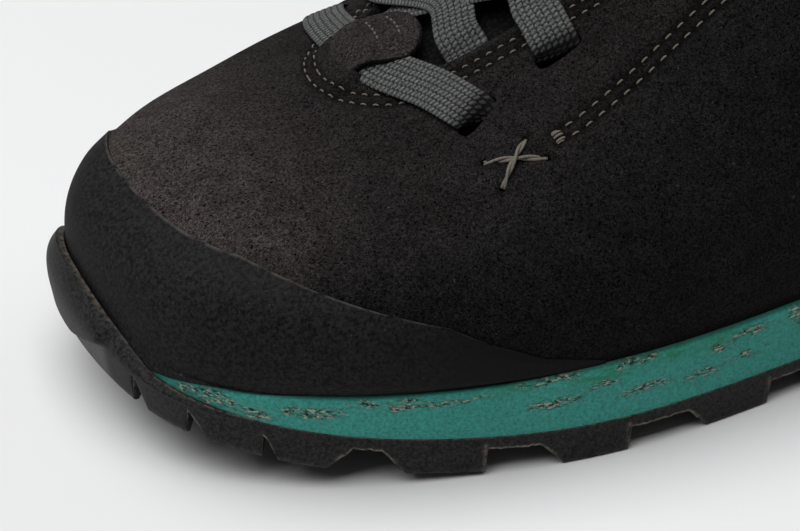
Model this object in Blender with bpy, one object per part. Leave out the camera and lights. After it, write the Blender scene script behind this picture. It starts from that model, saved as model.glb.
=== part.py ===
"""Low hiking shoe for the left foot, built round one last.

Lengths are in millimetres and are scaled to metres when a mesh is made.  The toe points along -X,
the outer side of the foot along -Y, and the sole stands on Z = 0.  A turn t runs once round the
shoe: 0 at the toe tip, down the outer side, round the heel and back along the inner side.
"""

import math

import bmesh
import bpy
import numpy as np
from mathutils import Vector
from mathutils.bvhtree import BVHTree

MM = 0.001
GAP = 0.3
# Middle of the whole shoe in plan, in the last's own coordinates: the origin of the part.
SHOE_CENTRE = np.array([144.3, -1.0, 0.0])

# Ribs of the last.  Each row is one rib: its foot on the feather line, where the upper meets the
# sole, and its top on the edge of the throat or collar.  lean is the outward lean of the wall at the
# foot and pitch the slope of the surface at the top, in degrees; rise and roll say how far the rib
# follows each of them; rim is the wall thickness at the top.
RIB_COLUMNS = (
    "foot_x", "foot_y", "foot_z", "top_x", "top_y", "top_z", "lean", "rise", "pitch", "roll", "rim")
RIBS = (
    (2.2, 7, 26, 58, 12, 55.5, 6, 27, 21, 25, 2.4),
    (6, -16.3, 24.5, 58.3, 9.5, 55.5, 6, 28, 21, 25, 2.4),
    (15, -33, 22.3, 59.5, 6, 55.8, 7, 28.5, 21, 26, 2.4),
    (34, -44.8, 21, 63, 1, 57, 8, 28, 22, 26, 2.4),
    (62, -51.5, 20.5, 72, -4, 60, 9, 28, 23, 26, 2.4),
    (95, -54, 21.4, 91, -8, 70, 9, 30, 27, 24, 2.4),
    (135, -48.5, 22, 128, -12, 88, 8, 32, 36, 24, 2.6),
    (168, -43.5, 24, 160, -22, 101, 6, 32, 60, 24, 4),
    (195, -41, 26, 191, -33, 91, 5, 26, 80, 22, 6),
    (236, -40.5, 28.5, 233, -34, 80, 6, 20, 86, 18, 6),
    (272, -29, 30, 267, -25, 88, 10, 24, 78, 22, 6),
    (288.5, 2, 30, 282, 2, 95, 13, 28, 70, 26, 6),
    (272, 28, 30, 267, 24, 90, 10, 24, 78, 22, 6),
    (236, 37, 28.5, 233, 31, 83, 6, 20, 86, 18, 6),
    (195, 36, 26, 191, 31, 93, 5, 26, 80, 22, 6),
    (165, 39, 24, 158, 28, 102, 6, 32, 60, 24, 4),
    (135, 45, 22, 126, 25, 88, 8, 32, 36, 24, 2.6),
    (95, 51, 21.4, 90, 26, 70.5, 9, 30, 27, 24, 2.4),
    (62, 50, 20.5, 72, 25, 60.5, 9, 28, 23, 26, 2.4),
    (34, 40.5, 21, 63, 22, 57.2, 8, 25.5, 22, 26, 2.4),
    (15.5, 30, 22.3, 59.5, 18, 55.8, 6, 23.5, 21, 26, 2.4),
    (6, 19.6, 24.5, 58.3, 14.5, 55.5, 6, 25, 21, 25, 2.4),
)
HEEL_ROW = 11
COLLAR_CORNER_ROWS = (7, 15)
WALL = 2.4
COLLAR_PAD_START = 0.55

# Sole.
OUTSOLE_SIDE = 8.1
LUG_DEPTH = 5.8
LUG_LENGTH = 15.0
LUG_DRAFT = 1.5
LUG_FRONT_SLOPE = 4.6
LUG_BACK_SLOPE = 0.6
NOTCH_STEEPNESS = 2.5
FLANK_SHARE = 0.95
SOLE_FLARE = 1.4
TOE_SPRING = 13.6
TOE_SPRING_END = 88.0
ARCH_FRONT = 138.0
ARCH_BACK = 205.0
ARCH_LIFT = 5.0
HEEL_BEVEL = 4.0
HEEL_BEVEL_START = 265.0
BUMPER_THICKNESS = 3.6
BUMPER_HEIGHT = 10.5
BUMPER_TIP = 2.5
BUMPER_REACH = 12.2
BUMPER_FADE = 26.0
BUMPER_LEAN = 0.05
BUMPER_EDGE = 0.5
BUMPER_TUCK = 0.8
PLATE_STEP = 0.9
SIDE_CHAMFER = 1.5
MIDSOLE_SIDE = 1.2
MIDSOLE_TOP_EDGE = 0.2
MIDSOLE_SHOULDER = 2.5
INSOLE_THICKNESS = 3.5
INSOLE_BEVEL = 0.8

# Edge lugs: front and back of each lug's crest, as distances behind the toe tip.  The front flank of
# a lug slopes and its back flank is steep, but for the one lug that slopes at its back as well.  One
# lug runs round the toe and one round the heel.
TOE_LUG_BACK = 8.1
HEEL_LUG_FRONT = 286.0
OUTER_LUGS = (
    (9.6, 14.3), (17, 25.3), (27.8, 36), (50.2, 65), (80.3, 93.5), (110.9, 125), (138, 153),
    (166, 180), (193, 206), (218, 233), (245, 259), (270, 279))
INNER_LUGS = (
    (9.6, 14.3), (17, 25.3), (27.8, 38), (52, 67), (82, 97), (112, 127), (140, 155),
    (168, 181), (195, 207), (219, 234), (246, 260), (270, 279))
SLOPING_BACK = 27.8
SLOPING_BACK_LENGTH = 5.5
# Centre lugs: distance behind the toe tip of each row, and where its lugs stand across the sole.
CENTRE_LUG_ROWS = (
    (27, (0,)),
    (46, (-14, 13)),
    (66, (-24, -1, 22)),
    (86, (-14, 11)),
    (107, (-25, -1, 23)),
    (127, (-13, 10)),
    (216, (-11, 8)),
    (238, (-11, 8)),
    (258, (-1,)),
)
CENTRE_LUG_LENGTH = 13.0
CENTRE_LUG_WIDTH = 12.0
CENTRE_LUG_ROOT = 1.0

# Toe rand: distance behind the toe tip, and the share of each rib that the rand covers.
RAND_THICKNESS = 1.0
RAND_ROWS = ((0, 0.38), (18, 0.39), (28, 0.35), (48, 0.25), (58, 0.2), (66, 0.13), (80, 0.03))
RAND_END = 80.0

# Throat, tongue, keeper and lace.
EYELET_RADIUS = 2.5
EYELET_ROWS = (
    # outer eyelet's distance behind the toe tip and y, then the inner eyelet's
    (75.7, -18.5, 65, 38.5),
    (93, -16, 77, 38.5),
    (113.5, -14.5, 98, 36.5),
    (127, -17.5, 117, 36),
    (140, -21.5, 134, 35.5),
    (152, -28, 150, 37),
)
TONGUE_THICKNESS = 4.0
TONGUE_ROWS = (
    # distance behind the toe tip, y of the middle, half width, depth under the instep
    (66, 11.5, 12, 3.2),
    (78, 10.5, 23, 3.2),
    (92, 9.5, 26, 3.2),
    (110, 8, 27, 3.4),
    (128, 6.5, 26, 4.0),
    (145, 5, 24, 5.2),
    (157, 4, 21, 6.0),
)
TONGUE_TOP_STEPS = (
    # step back, step up and share of the width for the free top
    (6, 9, 0.97),
    (11, 17, 0.9),
    (14, 22, 0.72),
)
KEEPER_THICKNESS = 1.6
KEEPER_ROWS = (
    # distance behind the toe tip, y of the middle, lift above the instep, half width
    (51, 12.5, -0.6, 9),
    (54, 12.3, 0.6, 9),
    (56.5, 12, 2.9, 8.5),
    (60, 11.4, 3.7, 8),
    (64, 10.7, 3.6, 7.8),
    (68, 9.9, 3.1, 7.4),
    (71, 9.3, 2.3, 6),
    (73, 8.9, 1.7, 3.2),
)
LACE_WIDTH = 8.0
LACE_THICKNESS = 1.2
LACE_LIFT = 1.0
LACE_DIP = -1.0
LACE_CROSS_LIFT = 0.4
LACE_EDGE_CLEARANCE = 6.0
LACE_OUTER_STEP = 5.4
LACE_INNER_STEP = 8.0
LACE_BOW = 2.5
LACE_BOW_REACH = 9.0

COLOURS = {
    "suede": ((0.032, 0.028, 0.028), 0.9),
    "rand": ((0.012, 0.012, 0.012), 0.6),
    "foam": ((0.026, 0.125, 0.105), 0.6),
    "rubber": ((0.02, 0.02, 0.02), 0.7),
    "lace": ((0.055, 0.06, 0.057), 0.85),
    "lining": ((0.02, 0.02, 0.02), 0.95),
}


def smooth(share):
    """Ease from 0 to 1 with flat ends."""
    share = np.clip(share, 0.0, 1.0)
    return share * share * (3.0 - 2.0 * share)


def closed_spline(knots, values, at):
    """Cubic spline through values at knots, closed after one turn, read at the turns at."""
    count = len(knots)
    spans = np.diff(np.append(knots, knots[0] + 1.0))
    slopes = (np.roll(values, -1) - values) / spans
    matrix = np.zeros((count, count))
    for i in range(count):
        matrix[i, i - 1] += spans[i - 1]
        matrix[i, i] += 2.0 * (spans[i - 1] + spans[i])
        matrix[i, (i + 1) % count] += spans[i]
    bends = np.linalg.solve(matrix, 6.0 * (slopes - np.roll(slopes, 1)))
    at = np.mod(np.asarray(at, float), 1.0)
    i = np.clip(np.searchsorted(knots, at, side="right") - 1, 0, count - 1)
    j = (i + 1) % count
    b = (at - knots[i]) / spans[i]
    c = 1.0 - b
    bend = (c**3 - c) * bends[i] + (b**3 - b) * bends[j]
    return c * values[i] + b * values[j] + bend * spans[i] ** 2 / 6.0


RIB_TABLE = dict(zip(RIB_COLUMNS, np.array(RIBS, float).T))


def rib_knots():
    """Turns of the ribs, spaced by the square root of the distance between their feet."""
    feet = np.column_stack([RIB_TABLE["foot_x"], RIB_TABLE["foot_y"]])
    steps = np.linalg.norm(np.roll(feet, -1, axis=0) - feet, axis=1) ** 0.5
    return np.concatenate([[0.0], np.cumsum(steps)[:-1]]) / steps.sum()


RIB_KNOTS = rib_knots()


def column(name, t):
    return closed_spline(RIB_KNOTS, RIB_TABLE[name], t)


def inward(t):
    """Level unit vectors pointing into the shoe, square to the feather line."""
    step = 1e-4
    along_x = column("foot_x", t + step) - column("foot_x", t - step)
    along_y = column("foot_y", t + step) - column("foot_y", t - step)
    size = np.hypot(along_x, along_y)
    return np.stack([-along_y / size, along_x / size, np.zeros_like(size)], axis=-1)


def feather(t, outset=0.0):
    """Points of the feather line, moved outwards by outset."""
    line = np.stack([column(name, t) for name in ("foot_x", "foot_y", "foot_z")], axis=-1)
    return line - inward(t) * np.broadcast_to(outset, np.shape(t))[..., None]


def rib_point(t, s):
    """Points of the upper's outer surface at turns t and rib fractions s (0 foot, 1 top)."""
    t, s = np.broadcast_arrays(np.asarray(t, float), np.asarray(s, float))
    into = inward(t)
    up = np.array([0.0, 0.0, 1.0])
    foot = feather(t)
    top = np.stack([column(name, t) for name in ("top_x", "top_y", "top_z")], axis=-1)
    lean = np.radians(column("lean", t))[..., None]
    pitch = np.radians(column("pitch", t))[..., None]
    foot_handle = foot + column("rise", t)[..., None] * (np.cos(lean) * up - np.sin(lean) * into)
    top_handle = top - column("roll", t)[..., None] * (np.cos(pitch) * into + np.sin(pitch) * up)
    s = s[..., None]
    return ((1 - s) ** 3 * foot + 3 * s * (1 - s) ** 2 * foot_handle
            + 3 * s**2 * (1 - s) * top_handle + s**3 * top)


def skin(t, s, lift=0.0):
    """Points of the upper's outer surface, lifted along its normal."""
    t, s = np.broadcast_arrays(np.asarray(t, float), np.asarray(s, float))
    step = 1e-4
    along = rib_point(t + step, s) - rib_point(t - step, s)
    upward = rib_point(t, s + step) - rib_point(t, s - step)
    normal = np.cross(along, upward)
    normal /= np.linalg.norm(normal, axis=-1)[..., None]
    return rib_point(t, s) + normal * np.broadcast_to(lift, t.shape)[..., None]


def turn_at(station, inner=False):
    """Turn where the feather line passes a distance behind the toe tip, on one side."""
    heel = RIB_KNOTS[HEEL_ROW]
    turns = np.linspace(1.0, heel, 400) if inner else np.linspace(0.0, heel, 400)
    return np.interp(station, column("foot_x", turns), turns)


def ground_lift(x):
    """Height of the lug bottoms: toe spring, arch and heel bevel."""
    toe = TOE_SPRING * np.clip(1.0 - x / TOE_SPRING_END, 0.0, None) ** 2
    arch_share = np.clip((x - ARCH_FRONT) / (ARCH_BACK - ARCH_FRONT), 0.0, 1.0)
    arch = ARCH_LIFT * np.sin(math.pi * arch_share) ** 2
    heel_length = RIB_TABLE["foot_x"].max() - HEEL_BEVEL_START
    heel = HEEL_BEVEL * np.clip((x - HEEL_BEVEL_START) / heel_length, 0.0, None) ** 2
    return toe + arch + heel


def ladder(loop, start):
    """Triangles across a closed loop of points, rung by rung from toe to heel."""
    count = len(loop)
    heel = int(np.argmax(loop[:, 0]))
    outer = list(range(heel + 1))
    inner = [0] + list(range(count - 1, heel - 1, -1))
    faces = []
    i = j = 0
    while i < len(outer) - 1 or j < len(inner) - 1:
        outer_next = loop[outer[i + 1], 0] if i < len(outer) - 1 else math.inf
        inner_next = loop[inner[j + 1], 0] if j < len(inner) - 1 else math.inf
        if outer_next <= inner_next:
            corner = outer[i + 1]
            rung = (outer[i], corner, inner[j])
            i += 1
        else:
            corner = inner[j + 1]
            rung = (outer[i], corner, inner[j])
            j += 1
        if len(set(rung)) == 3:
            faces.append(tuple(start + index for index in rung))
    return faces


def loop_faces(first, second, count):
    """Quads between two closed loops of vertices."""
    return [(first + i, first + (i + 1) % count, second + (i + 1) % count, second + i)
            for i in range(count)]


def make_piece(name, vertices, faces, colour):
    """Mesh object in metres with its own material and outward normals."""
    mesh = bpy.data.meshes.new(name)
    centred = np.asarray(vertices) - SHOE_CENTRE
    mesh.from_pydata([tuple(point) for point in centred * MM], [], faces)
    shaped = bmesh.new()
    shaped.from_mesh(mesh)
    bmesh.ops.recalc_face_normals(shaped, faces=shaped.faces[:])
    shaped.to_mesh(mesh)
    shaped.free()
    piece = bpy.data.objects.new(name, mesh)
    bpy.context.scene.collection.objects.link(piece)
    material = bpy.data.materials.new(name)
    material.use_nodes = True
    shader = material.node_tree.nodes["Principled BSDF"]
    base, roughness = COLOURS[colour]
    shader.inputs["Base Color"].default_value = (*base, 1.0)
    shader.inputs["Roughness"].default_value = roughness
    shader.inputs["Metallic"].default_value = 0.0
    mesh.materials.append(material)
    return piece


def stacked(rings, capped):
    """Solid through closed loops: the ends are bridged toe to heel, or joined to each other."""
    count = len(rings[0])
    faces = []
    for k in range(len(rings) - 1):
        faces += loop_faces(k * count, (k + 1) * count, count)
    last = (len(rings) - 1) * count
    if capped:
        faces += ladder(rings[0], 0) + ladder(rings[-1], last)
    else:
        faces += loop_faces(last, 0, count)
    return np.concatenate(rings), faces


def shell(outside, inside):
    """Closed plate between two grids of points with the same rows and columns."""
    rows, columns = outside.shape[:2]
    size = rows * columns
    faces = []
    for r in range(rows - 1):
        for c in range(columns - 1):
            quad = (r * columns + c, r * columns + c + 1,
                    (r + 1) * columns + c + 1, (r + 1) * columns + c)
            faces.append(quad)
            faces.append(tuple(size + index for index in reversed(quad)))
    border = [(0, c) for c in range(columns)]
    border += [(r, columns - 1) for r in range(1, rows)]
    border += [(rows - 1, c) for c in range(columns - 2, -1, -1)]
    border += [(r, 0) for r in range(rows - 2, 0, -1)]
    edge = [r * columns + c for r, c in border]
    for here, there in zip(edge, edge[1:] + edge[:1]):
        faces.append((there, here, size + here, size + there))
    return np.concatenate([outside.reshape(-1, 3), inside.reshape(-1, 3)]), faces


def boolean(piece, tool, operation):
    """Cut or join a piece with a tool that is not part of the shoe itself."""
    tool.hide_render = True
    tool.display_type = "WIRE"
    modifier = piece.modifiers.new(operation.lower(), "BOOLEAN")
    modifier.operation = operation
    modifier.object = tool


def bumper_share(x):
    return smooth(1.0 - x / BUMPER_FADE)


def sole_edge(t):
    """Outward reach of the outsole's side from the feather line."""
    return SOLE_FLARE + BUMPER_THICKNESS * bumper_share(column("foot_x", t))


def back_slope(front):
    """Length of the back flank of the lug that starts at front."""
    return SLOPING_BACK_LENGTH if front == SLOPING_BACK else LUG_BACK_SLOPE


def tread_depths():
    """Turns and groove depths round the edge of the tread, from lug to lug."""
    outer = []
    inner = []
    for front, back in OUTER_LUGS:
        outer.append((turn_at(front), turn_at(back), LUG_FRONT_SLOPE, back_slope(front)))
    for front, back in INNER_LUGS:
        inner.append((turn_at(back, True), turn_at(front, True), back_slope(front), LUG_FRONT_SLOPE))
    heel = (turn_at(HEEL_LUG_FRONT), turn_at(HEEL_LUG_FRONT, True), LUG_FRONT_SLOPE, LUG_FRONT_SLOPE)
    toe_start = turn_at(TOE_LUG_BACK, True) - 1.0
    toe_end = turn_at(TOE_LUG_BACK)
    toe = (toe_start, toe_end, LUG_BACK_SLOPE, LUG_BACK_SLOPE)
    next_toe = (toe_start + 1.0, toe_end + 1.0, LUG_BACK_SLOPE, LUG_BACK_SLOPE)
    crests = [toe] + outer + [heel] + inner[::-1] + [next_toe]
    profile = []
    for (_, leave, _, leave_slope), (enter, _, enter_slope, _) in zip(crests, crests[1:]):
        ends = feather(np.array([leave, enter]))
        width = np.linalg.norm(ends[1] - ends[0])
        depth = min(LUG_DEPTH, NOTCH_STEEPNESS * width)
        room = max(width, (leave_slope + enter_slope) / FLANK_SHARE)
        gap = enter - leave
        profile += [(leave, 0.0), (leave + leave_slope / room * gap, depth),
                    (enter - enter_slope / room * gap, depth), (enter, 0.0)]
    return np.array(profile)


def refine(turns, longest):
    """Turns with extra ones between, so that no step along the feather line is too long."""
    fine = []
    for here, there in zip(turns, np.append(turns[1:], turns[0] + 1.0)):
        ends = feather(np.array([here, there]))
        pieces = max(1, math.ceil(np.linalg.norm(ends[1] - ends[0]) / longest))
        fine += list(np.linspace(here, there, pieces, endpoint=False))
    return np.array(fine)


def sole_ring(t, outset, height):
    """Loop round the sole at an outward reach, with its height above the lug bottoms."""
    ring = feather(t, outset)
    ring[:, 2] = ground_lift(ring[:, 0]) + height
    return ring


def make_outsole():
    profile = tread_depths()
    marks = np.concatenate([[0.0, RIB_KNOTS[HEEL_ROW]], refine(profile[:, 0], 8.0)])
    turns = np.unique(np.round(np.mod(marks, 1.0), 5))
    depth = np.interp(turns, profile[:, 0], profile[:, 1], period=1.0)
    side = sole_edge(turns)
    share = bumper_share(column("foot_x", turns))
    wall_share = (BUMPER_REACH - column("foot_x", turns)) / (BUMPER_REACH - BUMPER_TIP)
    wall = BUMPER_HEIGHT * np.clip(wall_share, 0.0, 1.0)
    root = np.minimum(MIDSOLE_SIDE + GAP + 0.1, side - PLATE_STEP)
    top_inner = np.minimum(root + PLATE_STEP - BUMPER_EDGE + BUMPER_LEAN * wall, side - BUMPER_EDGE)
    rings = [
        sole_ring(turns, side - LUG_LENGTH - LUG_DRAFT, LUG_DEPTH),
        sole_ring(turns, side - LUG_LENGTH, depth),
        sole_ring(turns, side - BUMPER_TUCK * share, depth),
        sole_ring(turns, side, OUTSOLE_SIDE - SIDE_CHAMFER),
        sole_ring(turns, top_inner + BUMPER_EDGE, OUTSOLE_SIDE + wall),
        sole_ring(turns, top_inner, OUTSOLE_SIDE + wall),
        sole_ring(turns, root, OUTSOLE_SIDE),
    ]
    outsole = make_piece("outsole", *stacked(rings, True), "rubber")
    boolean(outsole, make_centre_lugs(), "UNION")


def make_centre_lugs():
    """Blocks of the centre tread, rooted in the plate."""
    vertices = []
    faces = []
    for x, places in CENTRE_LUG_ROWS:
        for y in places:
            start = len(vertices)
            for height, grow in ((0.0, 0.0), (LUG_DEPTH + CENTRE_LUG_ROOT, LUG_DRAFT)):
                half_length = CENTRE_LUG_LENGTH / 2 + grow
                half_width = CENTRE_LUG_WIDTH / 2 + grow
                for corner_x, corner_y in ((-1, -1), (1, -1), (1, 1), (-1, 1)):
                    place = x + corner_x * half_length
                    vertices.append((place, y + corner_y * half_width, ground_lift(place) + height))
            faces += [tuple(start + k for k in face) for face in (
                (3, 2, 1, 0), (4, 5, 6, 7), (0, 1, 5, 4), (1, 2, 6, 5), (2, 3, 7, 6), (3, 0, 4, 7))]
    return make_piece("centre_lugs_tool", vertices, faces, "rubber")


def even_turns(count):
    return np.arange(count) / count


def make_midsole():
    turns = even_turns(80)
    top = feather(turns, MIDSOLE_TOP_EDGE)
    shoulder = feather(turns, MIDSOLE_SIDE)
    foot = sole_ring(turns, MIDSOLE_SIDE, OUTSOLE_SIDE + GAP)
    depth = np.minimum(MIDSOLE_SHOULDER, 0.4 * (shoulder[:, 2] - foot[:, 2]))
    shoulder[:, 2] -= depth
    make_piece("midsole", *stacked([foot, shoulder, top], True), "foam")


def make_insole():
    turns = even_turns(48)
    inset = WALL + 2 * GAP
    rings = []
    levels = ((GAP, 0.0), (INSOLE_THICKNESS - INSOLE_BEVEL, 0.0), (INSOLE_THICKNESS, INSOLE_BEVEL))
    for height, bevel in levels:
        ring = feather(turns, -(inset + bevel))
        ring[:, 2] += height
        rings.append(ring)
    make_piece("insole", *stacked(rings, True), "lining")


def make_upper():
    turns = even_turns(76)
    rows = 12
    outside = []
    inside = []
    for s in np.linspace(0.0, 1.0, rows + 1):
        pad = smooth((s - COLLAR_PAD_START) / (1.0 - COLLAR_PAD_START))
        wall = WALL + pad * (column("rim", turns) - WALL)
        outside.append(skin(turns, s))
        inside.append(skin(turns, s, -wall))
    rim_rise = rib_point(turns, 1.0) - rib_point(turns, 0.99)
    rim_rise /= np.linalg.norm(rim_rise, axis=1)[:, None]
    rim = (outside[-1] + inside[-1]) / 2 + rim_rise * 0.3 * column("rim", turns)[:, None]
    rings = outside + [rim] + inside[::-1]
    for ring in (outside[0], inside[0]):
        ring[:, 2] = column("foot_z", turns) + GAP
    upper = make_piece("upper", *stacked(rings, False), "suede")
    boolean(upper, make_keeper(), "UNION")
    boolean(upper, make_eyelet_punches(), "DIFFERENCE")


def instep_surface():
    """Upper's outer surface closed over the throat, as a tree for dropping points on it."""
    turns = even_turns(120)
    grid = np.stack([rib_point(turns, s) for s in np.linspace(0.0, 1.0, 25)])
    vertices = [tuple(point) for point in grid.reshape(-1, 3)]
    faces = []
    for row in range(24):
        faces += loop_faces(row * 120, (row + 1) * 120, 120)
    outer_corner = RIB_KNOTS[COLLAR_CORNER_ROWS[0]]
    inner_corner = RIB_KNOTS[COLLAR_CORNER_ROWS[1]]
    rows = 40
    across = np.linspace(0.0, 1.0, 13)
    start = len(vertices)
    for share in np.linspace(0.0, 1.0, rows + 1)[1:]:
        outer = rib_point(share * outer_corner, 1.0)
        inner = rib_point(1.0 - share * (1.0 - inner_corner), 1.0)
        width = np.linalg.norm(inner - outer)
        crown = width * math.tan(math.radians(column("pitch", share * outer_corner))) / 4
        for k in across:
            point = (1 - k) * outer + k * inner
            point[2] += 4 * k * (1 - k) * min(crown, 6.0)
            vertices.append(tuple(point))
    for row in range(rows - 1):
        for k in range(len(across) - 1):
            first = start + row * len(across) + k
            faces.append((first, first + 1, first + 1 + len(across), first + len(across)))
    return BVHTree.FromPolygons(vertices, faces)


def drape(x, y, lift):
    """Point over the closed instep at (x, y), lifted along the surface normal, and that normal."""
    place, normal, _, _ = INSTEP.ray_cast(Vector((x, y, 200.0)), Vector((0.0, 0.0, -1.0)))
    if normal.z < 0.0:
        normal = -normal
    return np.array(place + normal * lift), np.array(normal)


def make_eyelet_punches():
    """Rods through the upper, one at each eyelet."""
    sides = 8
    vertices = []
    faces = []
    for outer_x, outer_y, inner_x, inner_y in EYELET_ROWS:
        for x, y in ((outer_x, outer_y), (inner_x, inner_y)):
            centre, normal = drape(x, y, 0.0)
            level = np.cross(normal, (1.0, 0.0, 0.0))
            level /= np.linalg.norm(level)
            other = np.cross(normal, level)
            start = len(vertices)
            for depth in (-8.0, 3.0):
                for k in range(sides):
                    angle = 2 * math.pi * k / sides
                    spoke = math.cos(angle) * level + math.sin(angle) * other
                    vertices.append(centre + normal * depth + spoke * EYELET_RADIUS)
            faces += loop_faces(start, start + sides, sides)
            faces.append(tuple(start + k for k in reversed(range(sides))))
            faces.append(tuple(start + sides + k for k in range(sides)))
    return make_piece("eyelet_punch_tool", vertices, faces, "rubber")


def make_toe_rand():
    stations, shares = np.array(RAND_ROWS, float).T
    turns = np.linspace(turn_at(RAND_END, True) - 1.0, turn_at(RAND_END), 39)
    cover = np.interp(column("foot_x", turns), stations, shares)
    grids = []
    for lift in (GAP + RAND_THICKNESS, GAP):
        rows = [skin(turns, share * cover, lift) for share in np.linspace(0.0, 1.0, 5)]
        rows[0][:, 2] = column("foot_z", turns) + GAP
        grids.append(np.stack(rows))
    make_piece("toe_rand", *shell(*grids), "rand")


def make_tongue():
    """Padded strip under the throat, with two steps of its free top above the collar."""
    across = np.linspace(-1.0, 1.0, 13)
    outside = []
    normals = []
    for x, y, half_width, depth in TONGUE_ROWS:
        section = [drape(x, y + k * half_width, -depth) for k in across]
        outside.append(np.array([point for point, _ in section]))
        normals.append(np.array([normal for _, normal in section]))
    for step_x, step_z, narrowing in TONGUE_TOP_STEPS:
        base = outside[len(TONGUE_ROWS) - 1]
        middle = base.mean(axis=0)
        outside.append(middle + (base - middle) * (1.0, narrowing, 1.0) + (step_x, 0.0, step_z))
        normals.append(normals[len(TONGUE_ROWS) - 1])
    outside = np.stack(outside)
    inside = outside - np.stack(normals) * TONGUE_THICKNESS
    make_piece("tongue", *shell(outside, inside), "lining")


def make_keeper():
    """Tab of the vamp that spans the front of the throat over the first lace bar."""
    across = np.linspace(-1.0, 1.0, 7)
    outside = []
    inside = []
    for x, y, lift, half_width in KEEPER_ROWS:
        for k in across:
            point, normal = drape(x, y + k * half_width, lift)
            outside.append(point + normal * KEEPER_THICKNESS / 2)
            inside.append(point - normal * KEEPER_THICKNESS / 2)
    grid = (len(KEEPER_ROWS), len(across), 3)
    return make_piece("keeper_tool", *shell(np.reshape(outside, grid), np.reshape(inside, grid)), "suede")


def lace_band(route, pieces):
    """Flat band along a route of (x, y, lift) points over the instep."""
    route = np.array(route, float)
    marks = np.linspace(0.0, 1.0, len(route))
    shares = np.linspace(0.0, 1.0, pieces + 1)
    x, y, lift = (np.interp(shares, marks, route[:, k]) for k in range(3))
    centres = []
    normals = []
    for place in zip(x, y, lift):
        point, normal = drape(*place)
        centres.append(point)
        normals.append(normal)
    centres = np.array(centres)
    along = np.gradient(centres, axis=0)
    outside = []
    inside = []
    for centre, normal, direction in zip(centres, normals, along):
        sideways = np.cross(normal, direction)
        sideways *= LACE_WIDTH / 2 / np.linalg.norm(sideways)
        outside.append((centre - sideways + normal * LACE_THICKNESS / 2,
                        centre + sideways + normal * LACE_THICKNESS / 2))
        inside.append((centre - sideways - normal * LACE_THICKNESS / 2,
                       centre + sideways - normal * LACE_THICKNESS / 2))
    return shell(np.array(outside), np.array(inside))


def make_lace_bar():
    outer_x, outer_y, inner_x, inner_y = EYELET_ROWS[0]
    route = (
        (outer_x - 1.5, outer_y + 1.5, LACE_LIFT),
        (70.8, -8, LACE_LIFT),
        (64.2, 3.2, LACE_LIFT),
        (62.6, 12, LACE_LIFT),
        (62, 21, LACE_LIFT),
        (62.3, 30, LACE_LIFT),
        (inner_x - 0.7, inner_y - 1.5, LACE_LIFT),
    )
    make_piece("lace_bar", *lace_band(route, 18), "lace")


def throat_edges(x):
    """Outer and inner y of the throat's edge at a distance behind the toe tip."""
    outer = np.linspace(0.0, RIB_KNOTS[COLLAR_CORNER_ROWS[0]], 200)
    inner = np.linspace(1.0, RIB_KNOTS[COLLAR_CORNER_ROWS[1]], 200)
    return [np.interp(x, column("top_x", side), column("top_y", side)) for side in (outer, inner)]


def make_lace_crosses():
    """One joined solid for each crossing: two bands from the gap of one row to the next eyelets."""
    for number, (row, after) in enumerate(zip(EYELET_ROWS, EYELET_ROWS[1:]), 1):
        outer_x = row[0] + LACE_OUTER_STEP
        inner_x = row[2] + LACE_INNER_STEP
        outer_y = throat_edges(outer_x)[0] + LACE_EDGE_CLEARANCE
        inner_y = throat_edges(inner_x)[1] - LACE_EDGE_CLEARANCE
        outer_edge = throat_edges(after[0])[0]
        inner_edge = throat_edges(after[2])[1]
        to_inner = (
            (outer_x, outer_y, LACE_DIP),
            (outer_x, outer_y + LACE_BOW_REACH, LACE_CROSS_LIFT),
            (after[2] - 3, inner_edge, LACE_LIFT),
            (after[2] - 1, after[3] - 1.5, LACE_LIFT),
        )
        to_outer = (
            (inner_x, inner_y, LACE_DIP),
            (after[0] - LACE_BOW, outer_edge + LACE_BOW_REACH, LACE_CROSS_LIFT),
            (after[0] - 1, outer_edge, LACE_LIFT),
            (after[0] - 0.5, after[1] + 1.5, LACE_LIFT),
        )
        bands = [lace_band(route, 12) for route in (to_inner, to_outer)]
        under = make_piece(f"lace_cross_{number}", *bands[0], "lace")
        over = make_piece(f"lace_cross_{number}_tool", *bands[1], "lace")
        boolean(under, over, "UNION")


def clear_scene():
    for item in list(bpy.data.objects):
        bpy.data.objects.remove(item, do_unlink=True)


INSTEP = instep_surface()


def main():
    clear_scene()
    make_outsole()
    make_midsole()
    make_insole()
    make_upper()
    make_toe_rand()
    make_tongue()
    make_lace_bar()
    make_lace_crosses()


main()
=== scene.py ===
"""Looks of a low hiking shoe for the left foot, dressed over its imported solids.

Lengths are in millimetres in the last's own coordinates: X runs back from the toe tip, the outer side
of the foot lies along -Y, and the sole stands on Z = 0.  They become metres about the part's origin
when a mesh is made.  A turn t runs once round the shoe: 0 at the toe tip, down the outer side, round
the heel and back along the inner side.  A share s runs up a rib: 0 at the sole, 1 at the throat.
"""

import math

import bmesh
import bpy
import numpy as np
from mathutils import Euler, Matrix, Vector, noise
from mathutils.bvhtree import BVHTree
from mathutils.kdtree import KDTree


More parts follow.
